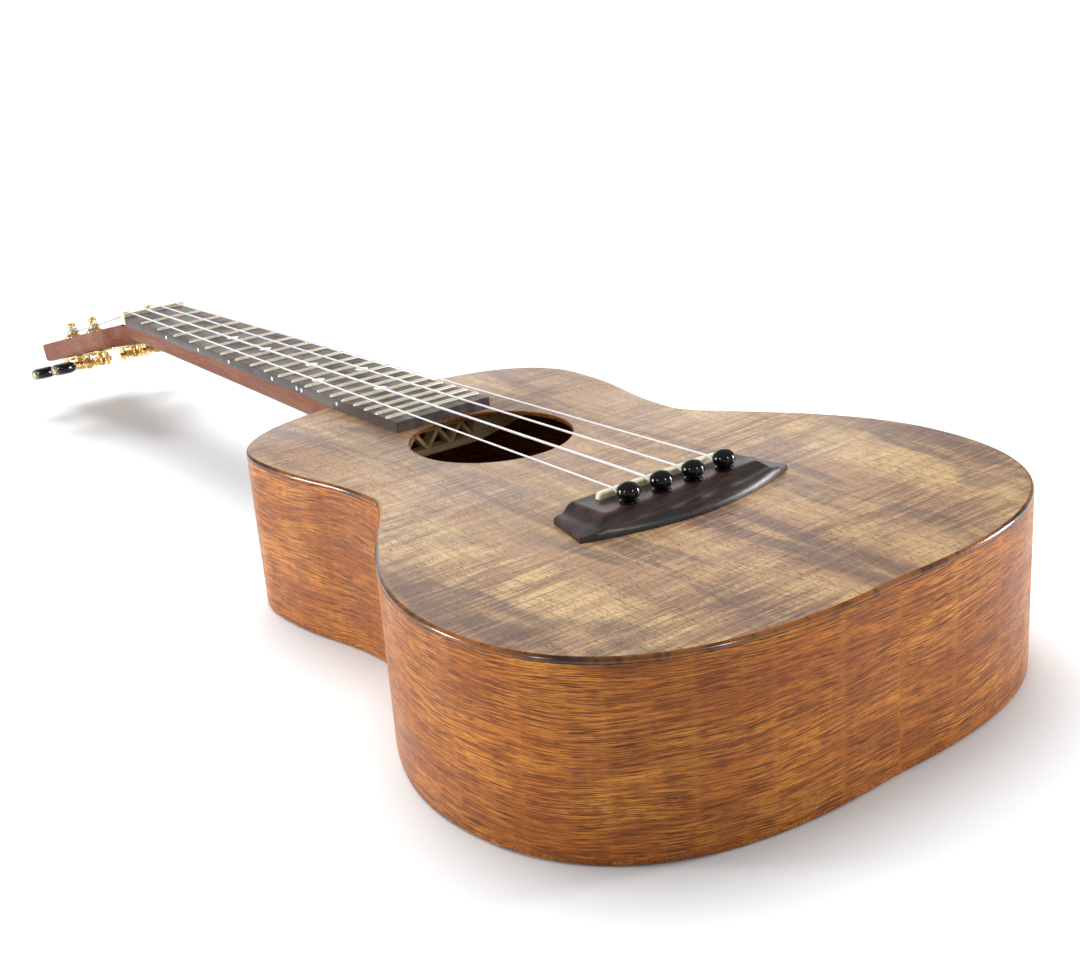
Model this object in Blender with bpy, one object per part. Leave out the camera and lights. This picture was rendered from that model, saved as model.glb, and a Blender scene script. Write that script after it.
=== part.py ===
"""Tenor ukulele, lying on its back. Metres, +Z up, neck along +Y.

The origin is on the floor under the middle of its length. The body is a hollow box of bent sides, soundboard
and back with blocks, linings and braces inside. The neck carries a fretboard and four open-gear tuners. Each
tuner has a plate, bushing, post, gear, worm shaft and button.
"""

import math

import bmesh
import bpy
from mathutils import Matrix, Vector

# driving dimensions
SCALE_LENGTH = 0.432
FRET_COUNT = 19
GAP = 0.0003
HAIR = 0.0001

TAIL_REACH = 0.1108  # from the saddle line to the end of the body
TAIL_DIP = 0.0003  # how far the middle of the tail stands short of that
BODY_TOP_REACH = 0.1943  # from the saddle line to the neck joint
BODY_DEPTH = 0.068
LOWER_BOUT = (0.1196, -0.0295)  # half width, and place along the body from the saddle line
WAIST = (0.0739, 0.0741)
UPPER_BOUT = (0.0825, 0.1477)
SOUND_HOLE = (0.0335, 0.1020)  # radius, and its centre from the saddle line

TOP_THICK = 0.0020
BACK_THICK = 0.0022
SIDE_THICK = 0.0018
LINING_WIDE = 0.0050
LINING_TALL = 0.0110
BLOCK_DEEP = 0.0180

NUT_WIDE = 0.0368
NUT_LONG = 0.0050
NUT_TALL = 0.0063
BOARD_END_WIDE = 0.0475
BOARD_THICK = 0.0042
BOARD_PAST_LAST_FRET = 0.0085
FRET_WIDE = 0.0016
FRET_HIGH = 0.0009

HEAD_ANGLE = math.radians(14.0)
HEAD_LONG = 0.1205
HEAD_WOOD = 0.0098
OVERLAY_THICK = 0.0010
HEAD_HALF = 0.0275

POST_SIDE = 0.0180
POST_ALONG = (0.0484, 0.0872)  # near pair and far pair, measured down the headstock from the nut
POST_RADIUS = 0.0025
POST_TOP = 0.0088  # above the headstock face
POST_EYE = 0.0070
PIN_HOLE_RADIUS = 0.0027
TUNER_BORE_RADIUS = 0.0044

SADDLE_LINE_HIGH = 0.0088
SADDLE_THICK = 0.0030
SADDLE_LONG = 0.0570
BRIDGE_HIGH = 0.0062
PIN_SPACING = 0.0149
PIN_BACK = 0.0111  # from the saddle line to the pins
NUT_SPACING = 0.0092
STRING_RADII = (0.00036, 0.00050, 0.00043, 0.00035)  # from the left: fourth, third, second and first string

# places worked out from them
HEAD_REACH = SCALE_LENGTH + NUT_LONG + HEAD_LONG * math.cos(HEAD_ANGLE)
SADDLE_Y = (TAIL_REACH - HEAD_REACH) / 2
TOP_Z = BODY_DEPTH
NUT_Y = SADDLE_Y + SCALE_LENGTH
BOARD_UNDER = TOP_Z + GAP
BOARD_TOP = BOARD_UNDER + BOARD_THICK
NUT_TOP = BOARD_UNDER + NUT_TALL
INNER_TOP = TOP_Z - TOP_THICK
LINING_GAP = SIDE_THICK + GAP
LINING_IN = LINING_GAP + LINING_WIDE
ACROSS = 12  # sides of a small round hole


# small tools
def clear_scene():
    for item in list(bpy.data.objects):
        bpy.data.objects.remove(item)


def material(name, colour, roughness, metallic=0.0):
    made = bpy.data.materials.new(name)
    made.use_nodes = True
    shader = made.node_tree.nodes["Principled BSDF"]
    shader.inputs["Base Color"].default_value = (*colour, 1.0)
    shader.inputs["Roughness"].default_value = roughness
    shader.inputs["Metallic"].default_value = metallic
    made.diffuse_color = (*colour, 1.0)
    return made


def finish_mesh(name, mesh_data, finish, parent=None, smooth=True):
    """An object from a bmesh, with its normals out, its material and its smoothing."""
    bmesh.ops.recalc_face_normals(mesh_data, faces=mesh_data.faces)
    mesh = bpy.data.meshes.new(name)
    mesh_data.to_mesh(mesh)
    mesh_data.free()
    if smooth:
        mesh.shade_smooth()
        mesh.set_sharp_from_angle(angle=math.radians(35))
    made = bpy.data.objects.new(name, mesh)
    bpy.context.scene.collection.objects.link(made)
    mesh.materials.append(finish)
    made.parent = parent
    return made


def cutter(made):
    made.hide_render = True
    made.display_type = "WIRE"
    return made


def boolean(target, other, operation="DIFFERENCE"):
    modifier = target.modifiers.new(other.name, "BOOLEAN")
    modifier.object = other
    modifier.operation = operation
    modifier.solver = "EXACT"
    cutter(other)


def ring_of(radius, count, centre=(0.0, 0.0), turn=0.0):
    step = 2 * math.pi / count
    turns = [turn + i * step for i in range(count)]
    return [Vector((centre[0] + radius * math.cos(t), centre[1] + radius * math.sin(t))) for t in turns]


def plate(name, outer, holes, low, high, finish, parent=None):
    """A flat plate between two heights, from an outline and any holes in it."""
    data = bmesh.new()
    edges = []
    for loop in (outer, *holes):
        points = [data.verts.new((p[0], p[1], low)) for p in loop]
        edges += [data.edges.new((points[i - 1], points[i])) for i in range(len(points))]
    bmesh.ops.triangle_fill(data, use_beauty=True, edges=edges)
    made = bmesh.ops.extrude_face_region(data, geom=data.faces[:])
    moved = [item for item in made["geom"] if isinstance(item, bmesh.types.BMVert)]
    bmesh.ops.translate(data, verts=moved, vec=(0, 0, high - low))
    return finish_mesh(name, data, finish, parent)


def loft(name, sections, finish, parent=None, smooth=True):
    """A closed skin through sections, each a list of the same number of points."""
    data = bmesh.new()
    rows = [[data.verts.new(point) for point in section] for section in sections]
    for first, second in zip(rows, rows[1:]):
        for i in range(len(first)):
            data.faces.new((first[i - 1], first[i], second[i], second[i - 1]))
    data.faces.new(rows[0])
    data.faces.new(rows[-1])
    return finish_mesh(name, data, finish, parent, smooth)


def turned(name, profile, finish, parent=None, count=16, bore=None):
    """A solid turned about local Z from (radius, height) pairs, bottom to top. A bore makes it a tube."""
    path = [(bore, profile[0][1]), *profile, (bore, profile[-1][1])] if bore else profile
    data = bmesh.new()
    rows = [[data.verts.new((*point, height)) for point in ring_of(radius, count)] for radius, height in path]
    if bore:
        rows.append(rows[0])
    for first, second in zip(rows, rows[1:]):
        for i in range(count):
            data.faces.new((first[i - 1], first[i], second[i], second[i - 1]))
    if not bore:
        data.faces.new(rows[0])
        data.faces.new(rows[-1])
    return finish_mesh(name, data, finish, parent)


def block(name, size, centre, finish, parent=None):
    data = bmesh.new()
    bmesh.ops.create_cube(data, size=1.0)
    bmesh.ops.scale(data, vec=size, verts=data.verts)
    bmesh.ops.translate(data, vec=centre, verts=data.verts)
    return finish_mesh(name, data, finish, parent, smooth=False)


def tube(name, points, radius, finish):
    curve = bpy.data.curves.new(name, "CURVE")
    curve.dimensions = "3D"
    curve.bevel_depth = radius
    curve.bevel_resolution = 2
    curve.use_fill_caps = True
    spline = curve.splines.new("POLY")
    spline.points.add(len(points) - 1)
    for slot, point in zip(spline.points, points):
        slot.co = (*point, 1.0)
    made = bpy.data.objects.new(name, curve)
    bpy.context.scene.collection.objects.link(made)
    curve.materials.append(finish)
    return made


def empty(name, place, rotation=(0.0, 0.0, 0.0), parent=None, flip=False):
    made = bpy.data.objects.new(name, None)
    bpy.context.scene.collection.objects.link(made)
    made.location = place
    made.rotation_euler = rotation
    made.scale = (-1, 1, 1) if flip else (1, 1, 1)
    made.parent = parent
    return made


# the body's outline
def curve_between(start, start_handle, end_handle, end, count):
    points = []
    for i in range(count):
        t = i / count
        s = 1 - t
        points.append(start * s**3 + start_handle * 3 * s * s * t + end_handle * 3 * s * t * t + end * t**3)
    return points


def right_outline():
    """The right half of the body, tail to neck, as four Bezier spans through the two bouts and the waist."""
    tail = Vector((0.0, SADDLE_Y - TAIL_REACH + TAIL_DIP))
    top = Vector((0.0, SADDLE_Y + BODY_TOP_REACH))
    lower = Vector((LOWER_BOUT[0], SADDLE_Y + LOWER_BOUT[1]))
    waist = Vector((WAIST[0], SADDLE_Y + WAIST[1]))
    upper = Vector((UPPER_BOUT[0], SADDLE_Y + UPPER_BOUT[1]))
    along = Vector((0.0, 1.0))
    across = Vector((1.0, 0.0))
    spans = (
        (tail, tail + across * 0.0185, lower - along * 0.0912, lower, 14),
        (lower, lower + along * 0.0507, waist - along * 0.0164, waist, 9),
        (waist, waist + along * 0.0347, upper - along * 0.0374, upper, 6),
        (upper, upper + along * 0.0356, top + across * 0.0467, top, 10),
    )
    points = []
    for span in spans:
        points += curve_between(*span)
    return [*points, top]


RIGHT = right_outline()


def offset(points, distance):
    """The open right-hand outline moved inwards by a distance, with its ends kept on the centre line."""
    moved = []
    for i, point in enumerate(points):
        before = points[max(i - 1, 0)]
        after = points[min(i + 1, len(points) - 1)]
        direction = (after - before).normalized()
        moved.append(point + Vector((-direction.y, direction.x)) * distance)
    moved[0].x = 0.0
    moved[-1].x = 0.0
    moved[0].y = points[0].y + distance
    moved[-1].y = points[-1].y - distance
    return moved


def mirrored(points):
    return [Vector((-p.x, p.y)) for p in points]


def whole(points):
    """Both halves of an outline as one loop."""
    return points + mirrored(points)[-2:0:-1]


def cut_at(points, x_tail, x_neck):
    """The part of a right-hand outline that lies outside both blocks, cut exactly at their edges."""
    middle = len(points) // 2

    def crossing(inner, outer, x):
        share = (x - inner.x) / (outer.x - inner.x)
        return inner.lerp(outer, share)

    first = next(i for i in range(middle) if points[i].x > x_tail)
    last = next(i for i in range(len(points) - 1, middle, -1) if points[i].x > x_neck)
    start = crossing(points[first - 1], points[first], x_tail)
    end = crossing(points[last + 1], points[last], x_neck)
    return [start, *points[first : last + 1], end]


def half_width(y, inset):
    """Half the body's inner width at a place along it, at an inset from the outside."""
    points = offset(RIGHT, inset)
    for first, second in zip(points, points[1:]):
        if first.y <= y <= second.y:
            return first.lerp(second, (y - first.y) / (second.y - first.y)).x
    raise ValueError(y)


def fret_y(number):
    return SADDLE_Y + SCALE_LENGTH * 2 ** (-number / 12)


def board_half(y):
    """Half the fretboard's width at a place along it."""
    end_y = fret_y(FRET_COUNT) - BOARD_PAST_LAST_FRET
    share = (NUT_Y - y) / (NUT_Y - end_y)
    return (NUT_WIDE + (BOARD_END_WIDE - NUT_WIDE) * share) / 2


def string_x(index, spacing):
    return (index - 1.5) * spacing


# finishes
clear_scene()
KOA = material("koa", (0.50, 0.33, 0.18), 0.42)
MAHOGANY = material("side_mahogany", (0.60, 0.29, 0.11), 0.30)
NECK_WOOD = material("neck_mahogany", (0.44, 0.19, 0.11), 0.42)
ROSEWOOD = material("rosewood", (0.11, 0.075, 0.065), 0.48)
SPRUCE = material("spruce", (0.66, 0.49, 0.27), 0.7)
BONE = material("bone", (0.87, 0.84, 0.66), 0.4)
BLACK = material("gloss_black", (0.006, 0.006, 0.007), 0.12)
NYLON = material("clear_nylon", (0.83, 0.83, 0.86), 0.3)
GOLD = material("gold_plate", (0.86, 0.62, 0.24), 0.22, 1.0)
BRASS = material("gear_brass", (0.78, 0.55, 0.22), 0.3, 1.0)


# body
def pin_holes():
    return [
        ring_of(PIN_HOLE_RADIUS, ACROSS, (string_x(i, PIN_SPACING), SADDLE_Y - PIN_BACK), math.pi / ACROSS)
        for i in range(4)
    ]


def make_shell():
    hole = ring_of(SOUND_HOLE[0], 40, (0.0, SADDLE_Y + SOUND_HOLE[1]))
    plate("soundboard", whole(RIGHT), [hole, *pin_holes()], INNER_TOP, TOP_Z, KOA)
    plate("back", whole(RIGHT), [], 0.0, BACK_THICK, MAHOGANY)
    outside, inside = RIGHT, offset(RIGHT, SIDE_THICK)
    low, high = BACK_THICK + GAP, INNER_TOP - GAP
    seam = GAP / 2
    strip = [Vector((max(p.x, seam), p.y)) for p in outside + inside[::-1]]
    plate("side_right", strip, [], low, high, MAHOGANY)
    plate("side_left", mirrored(strip), [], low, high, MAHOGANY)


TAIL_BLOCK_HALF = 0.0240
NECK_BLOCK_HALF = 0.0290


def make_blocks():
    """The two end blocks, shaped to the inside of the sides."""
    wall = offset(RIGHT, LINING_GAP)
    low, high = BACK_THICK + GAP, INNER_TOP - GAP
    tail, *_, neck = cut_at(wall, TAIL_BLOCK_HALF, NECK_BLOCK_HALF)
    tail_end, neck_end = wall[: len(wall) // 3], wall[-len(wall) // 4 :]
    near_tail = [p for p in tail_end if p.x < TAIL_BLOCK_HALF] + [tail]
    near_neck = [neck] + [p for p in neck_end if p.x < NECK_BLOCK_HALF]
    tail_face = wall[0].y + BLOCK_DEEP
    neck_face = wall[-1].y - BLOCK_DEEP
    tail_half = [*near_tail, Vector((TAIL_BLOCK_HALF, tail_face))]
    neck_half = [Vector((NECK_BLOCK_HALF, neck_face)), *near_neck]
    plate("tail_block", tail_half + mirrored(tail_half)[::-1][:-1], [], low, high, MAHOGANY)
    plate("neck_block", neck_half + mirrored(neck_half)[::-1][1:], [], low, high, MAHOGANY)


def make_linings():
    """Four strips glued round the inside corners, between the blocks."""
    x_tail, x_neck = TAIL_BLOCK_HALF + GAP, NECK_BLOCK_HALF + GAP
    outer = cut_at(offset(RIGHT, LINING_GAP), x_tail, x_neck)
    inner = cut_at(offset(RIGHT, LINING_IN), x_tail, x_neck)
    right = outer + inner[::-1]
    for place, low in (("top", INNER_TOP - GAP - LINING_TALL), ("back", BACK_THICK + GAP)):
        plate(f"{place}_lining_right", right, [], low, low + LINING_TALL, SPRUCE)
        plate(f"{place}_lining_left", mirrored(right), [], low, low + LINING_TALL, SPRUCE)


def brace_half(y, wide):
    """Half the length of a brace that just clears the linings along both of its sides."""
    return min(half_width(y + side * wide / 2, LINING_IN + GAP) for side in (-1, 1))


def brace_across(name, y, wide, tall, high_side):
    """A straight brace with shaved ends. high_side is +1 under the top, -1 on the back."""
    half = brace_half(y, wide)
    base = INNER_TOP - GAP if high_side > 0 else BACK_THICK + GAP
    tip = tall * 0.35
    slope = 0.022
    right = [(half, 0.0), (half, tip), (half - slope, tall)]
    profile = right + [(-x, z) for x, z in right[::-1]]
    sections = [[(x, y + side * wide / 2, base - high_side * z) for x, z in profile] for side in (-1, 1)]
    loft(name, sections, SPRUCE, smooth=False)


TRUSS_Y = SADDLE_Y + 0.1445
TRUSS_WIDE = 0.0055
TRUSS_TALL = 0.0135
TRUSS_CHORD = 0.0030
TRUSS_WEB = 0.0019
TRUSS_PITCH = 0.01175
TRUSS_LAST_HALF = 0.0015  # what is left of the outer half of the last opening at each end
TRUSS_TAPER = ((0.0205, 0.0), (0.0320, 0.0022), (0.0500, 0.0062))  # place across, and rise of the lower edge
TRUSS_END_TALL = 0.0047


def truss_windows():
    """Three openings stand on the lower chord. Four hang from the upper one, between and beside them."""
    low, high = TRUSS_CHORD, TRUSS_TALL - TRUSS_CHORD
    lean = TRUSS_WEB * 0.62
    half = TRUSS_PITCH / 2 - lean
    windows = []
    for step in (-1, 0, 1):
        middle = step * TRUSS_PITCH
        windows.append([(middle - half, low), (middle + half, low), (middle, high - lean)])
    for step in (-1.5, -0.5, 0.5, 1.5):
        middle = step * TRUSS_PITCH
        right = TRUSS_LAST_HALF if step == 1.5 else half
        left = TRUSS_LAST_HALF if step == -1.5 else half
        windows.append([(middle, low + lean), (middle + right, high), (middle - left, high)])
    return windows


def make_truss_brace():
    half = brace_half(TRUSS_Y, TRUSS_WIDE)
    right = [*TRUSS_TAPER, (half, TRUSS_TALL - TRUSS_END_TALL), (half, TRUSS_TALL)]
    outer = right + [(-x, z) for x, z in right[::-1]]
    thick = TRUSS_WIDE / 2
    made = plate("truss_brace", outer, truss_windows(), -thick, thick, SPRUCE)
    made.location = (0.0, TRUSS_Y, INNER_TOP - GAP - TRUSS_TALL)
    made.rotation_euler = (math.pi / 2, 0, 0)


BRIDGE_PLATE_REACH = (-0.0290, 0.0060)
BRIDGE_PLATE_HALF = 0.0460
BRIDGE_PLATE_THICK = 0.0022
FAN_WIDE = 0.0050
FAN_OUTLINE = ((0.0, 0.0), (0.0, 0.0035), (-0.012, 0.0065), (-0.040, 0.0065), (-0.056, 0.002), (-0.056, 0.0))


def make_braces():
    brace_across("waist_brace", SADDLE_Y + 0.0600, 0.006, 0.010, 1)
    for number, along in enumerate((-0.035, 0.052, 0.155), start=1):
        brace_across(f"back_brace_{number}", SADDLE_Y + along, 0.008, 0.009, -1)
    start_y = SADDLE_Y + BRIDGE_PLATE_REACH[0] - 0.001
    for name, lean in (("left", -0.20), ("center", 0.0), ("right", 0.20)):
        base = INNER_TOP - GAP
        sections = [[(side * FAN_WIDE / 2, y, -z) for y, z in FAN_OUTLINE] for side in (-1, 1)]
        made = loft(f"fan_brace_{name}", sections, SPRUCE, smooth=False)
        made.location = (lean * 0.16, start_y - abs(lean) * 0.004, base)
        made.rotation_euler = (0, 0, lean)
    low, high = (SADDLE_Y + reach for reach in BRIDGE_PLATE_REACH)
    half, top = BRIDGE_PLATE_HALF, INNER_TOP - GAP
    corners = [(-half, low), (half, low), (half, high), (-half, high)]
    plate("bridge_plate", corners, pin_holes(), top - BRIDGE_PLATE_THICK, top, SPRUCE)


# bridge, saddle and pins
BRIDGE_FRONT = 0.0045
BRIDGE_END_BACK = -0.0165
BRIDGE_BELLY_BACK = -0.0270
BRIDGE_FRONT_HALF = 0.0435
BRIDGE_BACK_HALF = 0.0490
WING_TIP_HIGH = 0.0026
PLATEAU_HALF = 0.0340
BACK_EDGE_HIGH = 0.0036
BRIDGE_ROWS = 16
BRIDGE_COLUMNS = 6


def smooth_step(value):
    t = min(max(value, 0.0), 1.0)
    return t * t * (3 - 2 * t)


def bridge_height(across, back):
    """Height of the carved top: a flat middle, scooped wings and a slope down to the curved back edge."""
    wing = smooth_step((abs(across) - PLATEAU_HALF) / 0.0085)
    high = BRIDGE_HIGH + (WING_TIP_HIGH - BRIDGE_HIGH) * wing
    slope = smooth_step((back - 0.62) / 0.38)
    return high + (min(BACK_EDGE_HIGH, high) - high) * slope


def make_bridge():
    data = bmesh.new()
    tops, feet = [], []
    for i in range(BRIDGE_ROWS + 1):
        u = 2 * i / BRIDGE_ROWS - 1
        u = math.copysign(abs(u) ** 0.75, u)
        back_y = BRIDGE_BELLY_BACK + (BRIDGE_END_BACK - BRIDGE_BELLY_BACK) * abs(u) ** 1.9
        top_row, foot_row = [], []
        for j in range(BRIDGE_COLUMNS + 1):
            v = j / BRIDGE_COLUMNS
            x = u * (BRIDGE_FRONT_HALF + (BRIDGE_BACK_HALF - BRIDGE_FRONT_HALF) * v)
            y = SADDLE_Y + BRIDGE_FRONT + (back_y - BRIDGE_FRONT) * v
            top_row.append(data.verts.new((x, y, TOP_Z + bridge_height(x, v))))
            foot_row.append(data.verts.new((x, y, TOP_Z + GAP)))
        tops.append(top_row)
        feet.append(foot_row)
    for grid in (tops, feet):
        for first, second in zip(grid, grid[1:]):
            for j in range(BRIDGE_COLUMNS):
                data.faces.new((first[j], first[j + 1], second[j + 1], second[j]))
    for i in range(BRIDGE_ROWS):
        for j in (0, BRIDGE_COLUMNS):
            data.faces.new((tops[i][j], tops[i + 1][j], feet[i + 1][j], feet[i][j]))
    for j in range(BRIDGE_COLUMNS):
        for i in (0, BRIDGE_ROWS):
            data.faces.new((tops[i][j], tops[i][j + 1], feet[i][j + 1], feet[i][j]))
    bridge = finish_mesh("bridge", data, ROSEWOOD)
    slot_deep = 0.0036
    slot = block(
        "saddle_slot",
        (SADDLE_LONG + 2 * HAIR, SADDLE_THICK + 2 * HAIR, 2 * slot_deep),
        (0.0, SADDLE_Y - SADDLE_THICK / 2, TOP_Z + BRIDGE_HIGH),
        ROSEWOOD,
    )
    boolean(bridge, slot)
    for i, ring in enumerate(pin_holes()):
        boolean(bridge, plate(f"bridge_hole_{i + 1}", ring, [], TOP_Z - 0.002, TOP_Z + 0.02, ROSEWOOD))
    make_saddle(TOP_Z + BRIDGE_HIGH - slot_deep + HAIR)


# drop below the crest, and share of the thickness there
SADDLE_CREST = ((0.0008, 1.0), (0.0002, 0.72), (0.0, 0.35))


def make_saddle(bottom):
    """A bone strip with round ends and a rounded crest."""
    half, thick = SADDLE_LONG / 2, SADDLE_THICK / 2
    y = SADDLE_Y - thick
    top = TOP_Z + SADDLE_LINE_HIGH
    end = 0.0012
    sections = []
    for level, crown in ((bottom, 1.0), *((top - drop, share) for drop, share in SADDLE_CREST)):
        deep = thick * crown
        long = half - (1 - crown) * 0.001
        outline = ((-long, -deep * 0.4), (end - long, -deep), (long - end, -deep), (long, -deep * 0.4))
        loop = [(x, y + d) for x, d in outline] + [(x, y - d) for x, d in outline[::-1]]
        sections.append([(px, py, level) for px, py in loop])
    loft("saddle", sections, BONE)


PIN_SEAT = TOP_Z + BRIDGE_HIGH + HAIR


def make_pins():
    """Ball-headed pins with a grooved, tapered shaft. Each lifts straight out of its hole."""
    ball_high, ball_radius, ball_half = 0.0038, 0.0041, 0.0033
    head = []
    for i in range(8):
        turn = math.radians(-62 + i * 18.5)
        head.append((ball_radius * math.cos(turn), ball_high + ball_half * math.sin(turn)))
    shaft = [(0.0019, -0.0165), (0.0021, -0.0160), (0.0025, 0.0)]
    collar = [(0.0034, 0.0), (0.0034, 0.0007)]
    profile = shaft + collar + head
    for i in range(4):
        seat = empty(f"pin_seat_{i + 1}", (string_x(i, PIN_SPACING), SADDLE_Y - PIN_BACK, PIN_SEAT))
        pin = turned(f"bridge_pin_{4 - i}", profile, BLACK, seat, count=ACROSS)
        groove = block(f"pin_groove_{4 - i}", (0.0015, 0.0060, 0.0240), (0.0, 0.0041, -0.0109), BLACK, seat)
        boolean(pin, groove)


# neck, headstock, fretboard and nut
def neck_section(y, half, deep, power=0.86):
    count = 12
    points = []
    for i in range(count + 1):
        turn = math.pi * i / count
        points.append((half * math.cos(turn), y, TOP_Z - deep * math.sin(turn) ** power))
    return points


def lowered(section, drop):
    return [(x, y, z - drop) for x, y, z in section]


def heel_section(height, half, reach):
    joint = SADDLE_Y + BODY_TOP_REACH - 0.006
    count = 12
    points = []
    for i in range(count + 1):
        turn = math.pi * i / count
        points.append((half * math.cos(turn), joint + (reach + 0.006) * math.sin(turn) ** 0.8, height))
    return points


def head_outline(start, inset=0.0):
    """The headstock seen square on: it flares from the nut, runs straight and ends in a shallow crown."""
    half = NUT_WIDE / 2 - inset
    right = [
        (half, start),
        (half + 0.0006, 0.0060),
        (half + 0.0032, 0.0120),
        (half + 0.0078, 0.0185),
        (HEAD_HALF - 0.0004, 0.0235),
        (HEAD_HALF, 0.0270),
        (HEAD_HALF - 0.0012, 0.0640),
        (HEAD_HALF + 0.0010, HEAD_LONG - 0.0060),
        (HEAD_HALF - 0.0003, HEAD_LONG - 0.0035),
        (HEAD_HALF - 0.0085, HEAD_LONG - 0.0006),
        (0.0075, HEAD_LONG - 0.0010),
    ]
    return right + [(0.0, HEAD_LONG)] + [(-x, y) for x, y in right[::-1]]


HEAD_FRAME_PLACE = Vector((0.0, NUT_Y + NUT_LONG, TOP_Z - 0.0002))


def make_neck(head):
    joint = SADDLE_Y + BODY_TOP_REACH
    root_half = board_half(joint)
    stations = (
        (joint - 0.006, root_half, 0.0190),
        (joint + 0.0300, board_half(joint + 0.030), 0.0175),
        (joint + 0.0900, board_half(joint + 0.090), 0.0160),
        (NUT_Y - 0.0400, board_half(NUT_Y - 0.040), 0.0142),
        (NUT_Y - 0.0040, NUT_WIDE / 2, 0.0138),
        (NUT_Y + NUT_LONG, NUT_WIDE / 2, 0.0140),
    )
    neck = loft("neck", [neck_section(*station) for station in stations], NECK_WOOD)
    heel_levels = (
        (0.0012, 0.0085, 0.0105),
        (0.0100, 0.0120, 0.0115),
        (0.0220, 0.0155, 0.0135),
        (0.0340, 0.0182, 0.0165),
        (0.0440, 0.0200, 0.0220),
        (0.0510, 0.0210, 0.0300),
        (0.0570, 0.0216, 0.0420),
    )
    heel = loft("heel_form", [heel_section(*level) for level in heel_levels], NECK_WOOD)
    boolean(neck, heel, "UNION")
    wood_top = -OVERLAY_THICK - GAP
    outline = head_outline(-0.0040, HAIR)
    form = plate("head_form", outline, [], wood_top - HEAD_WOOD, wood_top + 0.0006, NECK_WOOD, head)
    boolean(neck, form, "UNION")
    throat_half = NUT_WIDE / 2 - 2 * HAIR
    throat = loft(
        "throat_form",
        [
            lowered(neck_section(NUT_Y - 0.010, throat_half, 0.0122), 0.0012),
            lowered(neck_section(NUT_Y + 0.0090, throat_half, 0.0118), 0.0029),
            lowered(neck_section(NUT_Y + 0.0240, throat_half, 0.0090), 0.0066),
        ],
        NECK_WOOD,
    )
    boolean(neck, throat, "UNION")
    body_form = plate("body_form", whole(offset(RIGHT, -GAP)), [], -0.01, TOP_Z + 0.01, KOA)
    boolean(neck, body_form)
    above = block("above_form", (0.1, 0.3, 0.02), (0.0, 0.1505, 0.01 + wood_top), NECK_WOOD, head)
    boolean(neck, above)
    for index, seat in enumerate(TUNER_SEATS):
        through = [(TUNER_BORE_RADIUS, -0.03), (TUNER_BORE_RADIUS, 0.02)]
        bore = turned(f"head_bore_{index + 1}", through, NECK_WOOD, head, count=ACROSS)
        bore.location = seat
        boolean(neck, bore)
    plate("headstock_overlay", head_outline(0.0006), overlay_holes(), -OVERLAY_THICK, 0.0, NECK_WOOD, head)


NEAR, FAR = POST_ALONG
TUNER_SEATS = tuple(
    Vector((side * POST_SIDE, along, 0.0)) for side, along in ((-1, NEAR), (-1, FAR), (1, FAR), (1, NEAR))
)


def overlay_holes():
    return [ring_of(TUNER_BORE_RADIUS, ACROSS, (seat.x, seat.y)) for seat in TUNER_SEATS]


def make_fretboard():
    """The board with its fret crowns standing on it, as one lofted solid."""
    end_y = fret_y(FRET_COUNT) - BOARD_PAST_LAST_FRET
    stations = [(NUT_Y - HAIR, 0.0)]
    for number in range(1, FRET_COUNT + 1):
        y = fret_y(number)
        for step, rise in ((0.5, 0.0), (0.3, 1.0), (-0.3, 1.0), (-0.5, 0.0)):
            stations.append((y + step * FRET_WIDE, rise * FRET_HIGH))
    stations.append((end_y, 0.0))
    sections = []
    for y, rise in stations:
        half = board_half(y)
        top = BOARD_TOP + rise
        sections.append([(-half, y, BOARD_UNDER), (half, y, BOARD_UNDER), (half, y, top), (-half, y, top)])
    loft("fretboard", sections, ROSEWOOD, smooth=False)


def make_nut():
    half = NUT_WIDE / 2
    near, far = NUT_Y + HAIR, NUT_Y + NUT_LONG
    low, high = BOARD_UNDER, NUT_TOP
    outline = [
        (near, low),
        (far, low),
        (far, high - 0.0022),
        (far - 0.0018, high - 0.0005),
        (near + 0.0008, high),
        (near, high - 0.0004),
    ]
    nut = loft("nut", [[(x, y, z) for y, z in outline] for x in (-half, half)], BONE, smooth=False)
    for i in range(4):
        radius = STRING_RADII[i]
        deep = nut_string_z(i) - radius - HAIR / 2
        size = (2 * radius + 0.0003, 0.02, 0.004)
        slot = block(f"nut_slot_{i + 1}", size, (string_x(i, NUT_SPACING), NUT_Y, deep + 0.002), BONE)
        boolean(nut, slot)


# tuners
GEAR_TEETH = 14
GEAR_MODULE = 0.00075
WORM_PITCH = math.pi * GEAR_MODULE
WORM_OFFSET = 0.0076
HEAD_BACK = -OVERLAY_THICK - GAP - HEAD_WOOD
PLATE_THICK = 0.0011
GEAR_MIDDLE = HEAD_BACK - GAP - PLATE_THICK - 0.0046
GEAR_HALF = 0.0015
EAR_MIDDLE = 0.0057
EAR_HALF = 0.0005
SHAFT_BORE = 0.0017


def make_tuner(number, head, seat):
    side = -1 if seat.x < 0 else 1
    frame = empty(f"tuner_{number}", seat, parent=head, flip=side > 0)
    make_tuner_plate(number, frame)
    make_post(number, frame)
    make_gear(number, frame)
    worm_frame = empty(f"tuner_{number}_worm_axis", (0.0, WORM_OFFSET, GEAR_MIDDLE), parent=frame)
    make_worm_shaft(number, worm_frame)
    make_button(number, worm_frame)


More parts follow.
